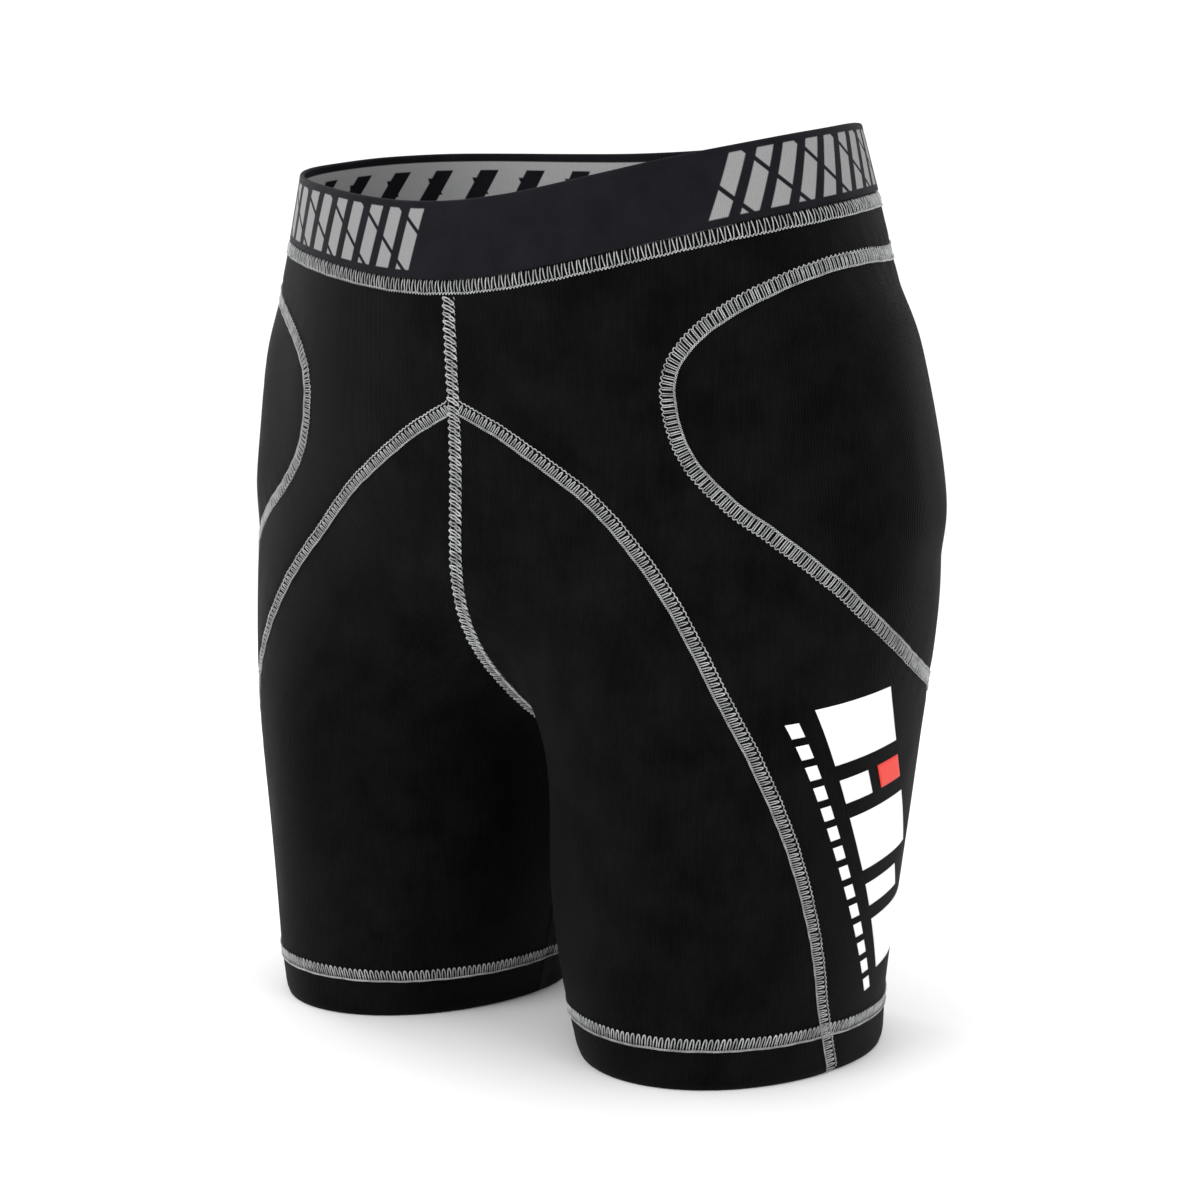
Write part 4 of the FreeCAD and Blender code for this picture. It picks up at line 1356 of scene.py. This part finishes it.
sheets("hip_pad_lining", "mesh_lining", o_grid(hip_sides(LINING_INSET), (12, 18)),
       ((0.18, 0.22), "hip_panel_left", 0.035), lining_face(hip_reach), LINING, MESH)
sheets("tailbone_pad_lining", "mesh_lining", tail_grids(LINING_INSET),
       ((0.082, 0.14), "tailbone_panel", 0.0085), lining_face(tail_reach), LINING, MESH,
       sides=MIDDLE_ONLY)

# ---------------------------------------------------------------- pads

PAD_SLACK = 0.8            # a pad is cut this much smaller all round and then filled by the cloth
PAD_PRESSURE = 4.0
PAD_SLOPE = 0.35           # share of a pad over which it thickens from its rim
PAD_ROUND_START = 0.93     # where its rounded edge starts, and the share that is rounded off
PAD_ROUND = 0.85
INSIDE_X = 90.0            # inside the body, level with a pad


def on_side(y, z):
    return out_from(INSIDE_X, y, z, (1.0, 0, 0))


def on_back(x, z):
    return out_from(x, 0, z, (0, 1.0, 0))


def pad_outline(pad, place, scale):
    """Four sides of a pad's outline, between a square and an oval."""
    lines = []
    for k in range(4):
        turn = np.radians(np.linspace(-135 + 90 * k, -45 + 90 * k, 81))
        c, s = np.cos(turn), np.sin(turn)
        power = (np.abs(c) ** PAD_SQUARENESS + np.abs(s) ** PAD_SQUARENESS) ** (1 / PAD_SQUARENESS)
        lines.append(place(pad[0] + scale * pad[2] * c / power, pad[1] + scale * pad[3] * s / power))
    return lines


def pad_object(name, size, place, reach_of, side=1):
    """Foam pad with rounded rim, swollen by cloth pressure within its pocket."""
    grids = on_side_of(o_grid(pad_outline(size, place, PAD_RIM), (8, 8)), side)
    points, quads = weld([grid[::2, ::2] for grid in grids])
    reach = reach_of(points)
    full = ease((1 - reach) / PAD_SLOPE)
    thick = PAD_EDGE + (PAD_MIDDLE - PAD_EDGE) * full - 2 * PAD_SLACK
    rim = np.clip((reach - PAD_ROUND_START) / (PAD_RIM - PAD_ROUND_START), 0, 1)
    round_off = 1 - PAD_ROUND * (1 - np.sqrt(np.clip(1 - rim * rim, 0, 1)))
    cut = thick * (1 - round_off) / 2
    lift = PAD_LIFT - PAD_SLACK - cut + relief(points)
    thing, _ = shell(name, points, quads, lift, lift + 2 * cut - thick, FOAM)
    simulate(thing, None, PAD_PRESSURE, PAD_SLACK)
    subdivide(thing)
    return thing


make_pieces("hip_pad",
            lambda name, side: pad_object(name, HIP_PAD, on_side, hip_reach, side), "foam")
make_pieces("tailbone_pad",
            lambda name, side: pad_object(name, TAIL_PAD, on_back, tail_reach), "foam",
            sides=MIDDLE_ONLY)

# ---------------------------------------------------------------- waistband

BAND_STEPS = 720
BAND_ROUND = BAND / 2
BAND_WAVE = 0.35           # how far the free edge waves in and out, in 7 and in 17 waves round it
BAND_RIPPLE = 0.2
BAND_ANGLES = np.linspace(-270, 90, BAND_STEPS + 1)


def band_edges(angles):
    return waist_height(angles, WAIST_SEAM), waist_height(angles, WAIST_TOP)


BAND_LENGTHS = lengths_along(rays(BODY_AXIS, BAND_ANGLES, sum(band_edges(BAND_ANGLES)) / 2))
BAND_LENGTHS -= np.interp(FRONT_ANGLE, BAND_ANGLES, BAND_LENGTHS)


def band_places(points):
    """Place on the band: round it from the front middle, and up it from its lower edge."""
    angle = np.degrees(np.arctan2(points[:, 1], points[:, 0]))
    angle = np.where(angle > 90, angle - 360, angle)
    low, high = band_edges(angle)
    up = (points[:, 2] - low) / (high - low) * BAND_HEIGHT
    return np.interp(angle, BAND_ANGLES, BAND_LENGTHS), up


def set_band_attribute(thing, points):
    """Writes places on the band for each face corner, so that the ring's two ends don't blur."""
    round_it, up = band_places(points)
    corners = np.zeros(len(thing.data.loops), np.int64)
    thing.data.loops.foreach_get("vertex_index", corners)
    starts = np.zeros(len(thing.data.polygons), np.int64)
    thing.data.polygons.foreach_get("loop_start", starts)
    owner = np.searchsorted(starts, np.arange(len(corners)), side="right") - 1
    along = round_it[corners]
    first = along[starts][owner]
    whole = BAND_LENGTHS[-1] - BAND_LENGTHS[0]
    along = along + whole * np.round((first - along) / whole)
    set_attribute(thing, "band", np.stack([along, up[corners], np.zeros_like(along)], axis=1), "CORNER")


def band_profile():
    """Closed section of the folded elastic: shares of its height and lifts, outside first."""
    outer = [(0.0, -0.45), (0.3, -0.15), (0.9, 0.0)]
    outer += [(v, 0.0) for v in np.linspace(2.0, BAND_HEIGHT - 5.0, 10)]
    outer += [(BAND_HEIGHT - 4.2, -0.12), (BAND_HEIGHT - 3.4, -0.02), (BAND_HEIGHT - 2.2, 0.0)]
    outer = [(v, lift + BAND_LIFT) for v, lift in outer]
    turns = np.linspace(0, math.pi, 9)
    top = [(BAND_HEIGHT - BAND_ROUND + BAND_ROUND * math.sin(t),
            BAND_LIFT - BAND_ROUND + BAND_ROUND * math.cos(t)) for t in turns]
    inner = [(v, BAND_LIFT - BAND) for v in np.linspace(BAND_HEIGHT - 3, 0.3, 12)]
    return np.array(outer + top + inner), len(outer) + 5


def waistband():
    profile, outside = band_profile()
    angles = BAND_ANGLES[:-1]
    turns = np.radians(angles)
    low, high = band_edges(angles)
    rows = []
    for up, lift in profile:
        z = low + (high - low) * up / BAND_HEIGHT
        base = rays(BODY_AXIS, angles, z)
        wave = BAND_WAVE * np.sin(turns * 7 + up / 30) + BAND_RIPPLE * np.sin(turns * 17)
        rows.append(base + unit(slope_at(base)) * (lift + wave * up / BAND_HEIGHT)[:, None])
    points = np.stack(rows, axis=1)
    count, steps = points.shape[:2]
    ids = np.arange(count * steps).reshape(count, steps)
    after = np.roll(ids, -1, axis=0)
    up_ids = np.roll(ids, -1, axis=1)
    up_after = np.roll(after, -1, axis=1)
    quads = np.stack([ids, after, up_after, up_ids], axis=-1)
    points = points.reshape(-1, 3)
    thing = make_object("waistband_elastic", points, quads.reshape(-1, 4), ELASTIC, ELASTIC_INSIDE)
    set_band_attribute(thing, points)
    within = np.broadcast_to(np.arange(steps) >= outside, (count, steps)).reshape(-1)
    thing.data.polygons.foreach_set("material_index", within.astype(np.int32))
    settle(thing, "waistband")


waistband()

JOIN_TURN = 4
JOIN_INSET = 2
JOIN = 0.6


def band_join():
    start, end = BACK_ANGLE - JOIN_TURN, BACK_ANGLE + JOIN_TURN
    low = waist_line(WAIST_SEAM, start, end, JOIN_INSET)
    high = waist_line(WAIST_TOP, start, end, -JOIN_INSET)
    grids = [ring_patch(low, high, 6, 5)]
    inside = BAND_LIFT - BAND - 0.05
    thing = sheet_object("waistband_join_elastic", grids, inside, JOIN, ELASTIC_PLAIN, shape=None)
    places = vertex_places(thing) / MM + np.array([0, MIDDLE_Y, 0])
    set_band_attribute(thing, places)
    settle(thing, "waistband_join")


band_join()

# ---------------------------------------------------------------- stitching

WAIST_DROP = 3.6           # of the waist seam's middle below the band's edge


def ladder(course, span=None):
    """Cover stitch with rungs straight across, looped along one edge and beaded along the other."""
    return (
        rungs(course, 2.45, -2.9, 2.9, 0.3, span, pair_gap=0.95, arch=0.3, radius=0.255)
        + chain(course, 2.45, -3.0, 0.5, span, radius=0.25, strands=1)
        + chain(course, 2.45, 3.0, 0.42, span, radius=FINE_RADIUS)
    )


def flatlock(course, span=None):
    """Leaning loops from a beaded lower edge, and a wavy cord that stands apart above them."""
    return (
        hooks(course, 2.45, -2.9, 2.0, 1.1, span, width=0.58, arch=0.3, radius=0.265)
        + chain(course, 2.45, -2.8, 0.42, span, radius=FINE_RADIUS)
        + chain(course, 2.45, 3.0, 0.28, span, radius=0.27, strands=1, flat=0.3)
    )


def braid(course, span=None):
    """Two columns of slanted loops that lap over each other in the middle."""
    return (
        hooks(course, 3.3, -0.5, 3.1, 1.5, span, width=0.8, arch=0.3, radius=0.38)
        + hooks(course, 3.3, 0.5, -3.1, -1.5, span, width=0.8, arch=0.6, radius=0.38)
        + chain(course, 3.3, 2.7, 0.4, span, lift=0.0, radius=FINE_RADIUS, strands=1)
        + chain(course, 3.3, -2.7, 0.4, span, lift=0.0, radius=FINE_RADIUS, strands=1)
    )


def waist_thread():
    angles = np.linspace(-270, 90, 1441)
    line = rays(BODY_AXIS, angles, waist_height(angles, WAIST_SEAM) - WAIST_DROP)
    course = Course(line, closed=True)
    return (
        rungs(course, 1.75, -2.9, 3.2, 0.0, lean=0.6, arch=0.3, radius=0.27)
        + chain(course, 1.75, -2.9, 0.45, radius=0.24, strands=1, flat=0.4)
    )


def hem_line():
    angles = np.linspace(-180, 180, 1081)
    height = (HEM_STITCH_FOOT + HEM_STITCH_TOP) / 2
    return rays(LEG_AXIS, angles, np.full_like(angles, height))


def hem_stitches(course):
    return (
        hooks(course, 2.7, -2.5, 2.9, 0.9, width=0.78, radius=0.31)
        + chain(course, 1.35, -2.8, 0.4, radius=FINE_RADIUS)
    )


def stitch_middle(name, groups):
    settle(thread_object(name + "_stitches", groups, GREY_THREAD), name)


def stitch_sides(base, line, pattern, start=0.0, end=0.0, closed=False, black=False):
    """The same seam on both sides, from start to end short of the line's length."""
    def make(name, side):
        course = Course(line, closed, side)
        groups = pattern(course) if closed else pattern(course, (start, course.total - end))
        return thread_object(name, groups, BLACK_THREAD if black else GREY_THREAD)

    make_pieces(base, make, "stitches")


def stitch_all():
    stitch_middle("waist_seam_thread", waist_thread())
    front = Course(FRONT_SEAM)
    stitch_middle("front_centre_seam_thread", braid(front, (8.0, front.total)))
    under = Course(np.vstack([UNDER_SEAM, SEAT_SEAM[1:]]))
    stitch_middle("crotch_seam_thread", braid(under, (0.4, under.total - 1)))
    tails = []
    for side in (1, -1):
        tail = Course(TAIL, side=side)
        tails += flatlock(tail, (8.0, tail.total - 1))
    stitch_middle("tailbone_seam_thread", tails)
    stitch_sides("hem_thread", hem_line(), hem_stitches, closed=True)
    stitch_sides("thigh_seam_thread", THIGH, flatlock, 2.5, 0.8)
    stitch_sides("hip_seam_thread", HIP, ladder, 2.5, 2.5)
    stitch_sides("side_back_seam_thread", SIDE_BACK, flatlock, 8.0, 0.8)
    stitch_sides("inseam_thread", INNER, flatlock, 2.0, 0.8, black=True)


stitch_all()

# ---------------------------------------------------------------- transfer print

PRINT_FILM = 0.14
PRINT_SINK = 0.08


def print_point(along, across):
    return on_side(PRINT_TOP[0] + along * PRINT_LEAN + across,
                   PRINT_TOP[1] - along + across * PRINT_LEAN)


def block_grid(block, spacing=1.6):
    """Grid of points over one block of the print."""
    along, length, start, end = block
    rows = max(int((end - start) / spacing), 4) + 1
    columns = max(int(length / spacing), 4) + 1
    across, down = np.meshgrid(np.linspace(start, end, rows), np.linspace(0, length, columns),
                               indexing="ij")
    return print_point(along + down - PRINT_SLANT * across, across)


def film_object(name, blocks, material):
    thing = sheet_object(name + "_film", [block_grid(block) for block in blocks], PRINT_FILM,
                         PRINT_FILM + PRINT_SINK, material)
    settle(thing, name)


MARKS = [
    (MARK_START + MARK_PITCH * k, MARK_LENGTH, -MARK_OFFSET - MARK_WIDTH, -MARK_OFFSET)
    for k in range(MARK_COUNT)
]
film_object("thigh_print", WHITE_BLOCKS + MARKS, WHITE_FILM)
film_object("thigh_print_accent", [ACCENT_BLOCK], RED_FILM)

# ---------------------------------------------------------------- stage, lights and camera


FLOOR_HALF = 6.0           # metres
FLOOR_DROP = 0.0004        # just below the hems
FLOOR_TONES = grey(0.93), grey(0.945)
WORLD_STRENGTH = 1.08
LIGHT_AIM = (0, 0, 0.25)
LIGHTS = [                 # name, place, size, power
    ("key", (-0.5, -1.9, 1.5), (1.2, 1.2), 18),
    ("side", (2.0, -0.6, 0.9), (0.7, 1.6), 6),
    ("rim", (-1.8, 0.3, 1.0), (0.8, 1.4), 9),
    ("top", (0.1, 0.1, 1.9), (1.0, 1.0), 6),
]


def floor():
    mesh = bpy.data.meshes.new("floor")
    corners = [(-1, -1), (1, -1), (1, 1), (-1, 1)]
    mesh.from_pydata([(x * FLOOR_HALF, y * FLOOR_HALF, 0) for x, y in corners], [], [(0, 1, 2, 3)])
    thing = add_object("floor", mesh)
    thing.location = (0, 0, -FLOOR_DROP)
    look = Look("floor")
    cloud = look.noise(3, 2, 0.5)
    colour = look.mix(look.spread(cloud, 0.3, 0.7), *FLOOR_TONES)
    mesh.materials.append(look.finish(colour, 0.85, look.bump(look.noise(400), 0.0001, 0.2)))


def area_light(name, place, size, power):
    data = bpy.data.lights.new(name, "AREA")
    data.shape = "RECTANGLE"
    data.size, data.size_y = size
    data.energy = power
    thing = add_object(name, data)
    thing.location = place
    thing.rotation_euler = (Vector(LIGHT_AIM) - Vector(place)).to_track_quat("-Z", "Y").to_euler()


def studio():
    world = bpy.data.worlds.new("studio")
    world.use_nodes = True
    backdrop = world.node_tree.nodes["Background"].inputs
    backdrop["Color"].default_value = (1, 1, 1, 1)
    backdrop["Strength"].default_value = WORLD_STRENGTH
    bpy.context.scene.world = world
    for light in LIGHTS:
        area_light(*light)


CAMERA_PLACE = Vector((0.5694, -0.8303, 0.3032))
CAMERA_WAY = Vector((-0.5574, 0.8245, -0.0975))
CAMERA_ROLL = 0.80         # degrees
LENS = 60.4575             # mm, on a sensor this wide
SENSOR = 36


def camera():
    data = bpy.data.cameras.new("camera")
    data.sensor_width = SENSOR
    data.lens = LENS
    data.clip_start = 0.05
    data.clip_end = 50
    thing = add_object("camera", data)
    way = CAMERA_WAY.normalized()
    right = way.cross(Vector((0, 0, 1))).normalized()
    up = right.cross(way)
    roll = math.radians(CAMERA_ROLL)
    across = right * math.cos(roll) + up * math.sin(roll)
    above = -right * math.sin(roll) + up * math.cos(roll)
    turn = Matrix((across, above, -way)).transposed()
    thing.matrix_world = Matrix.Translation(CAMERA_PLACE) @ turn.to_4x4()
    bpy.context.scene.camera = thing


floor()
studio()
camera()
bpy.context.scene.view_settings.view_transform = "Standard"

bpy.context.view_layer.update()
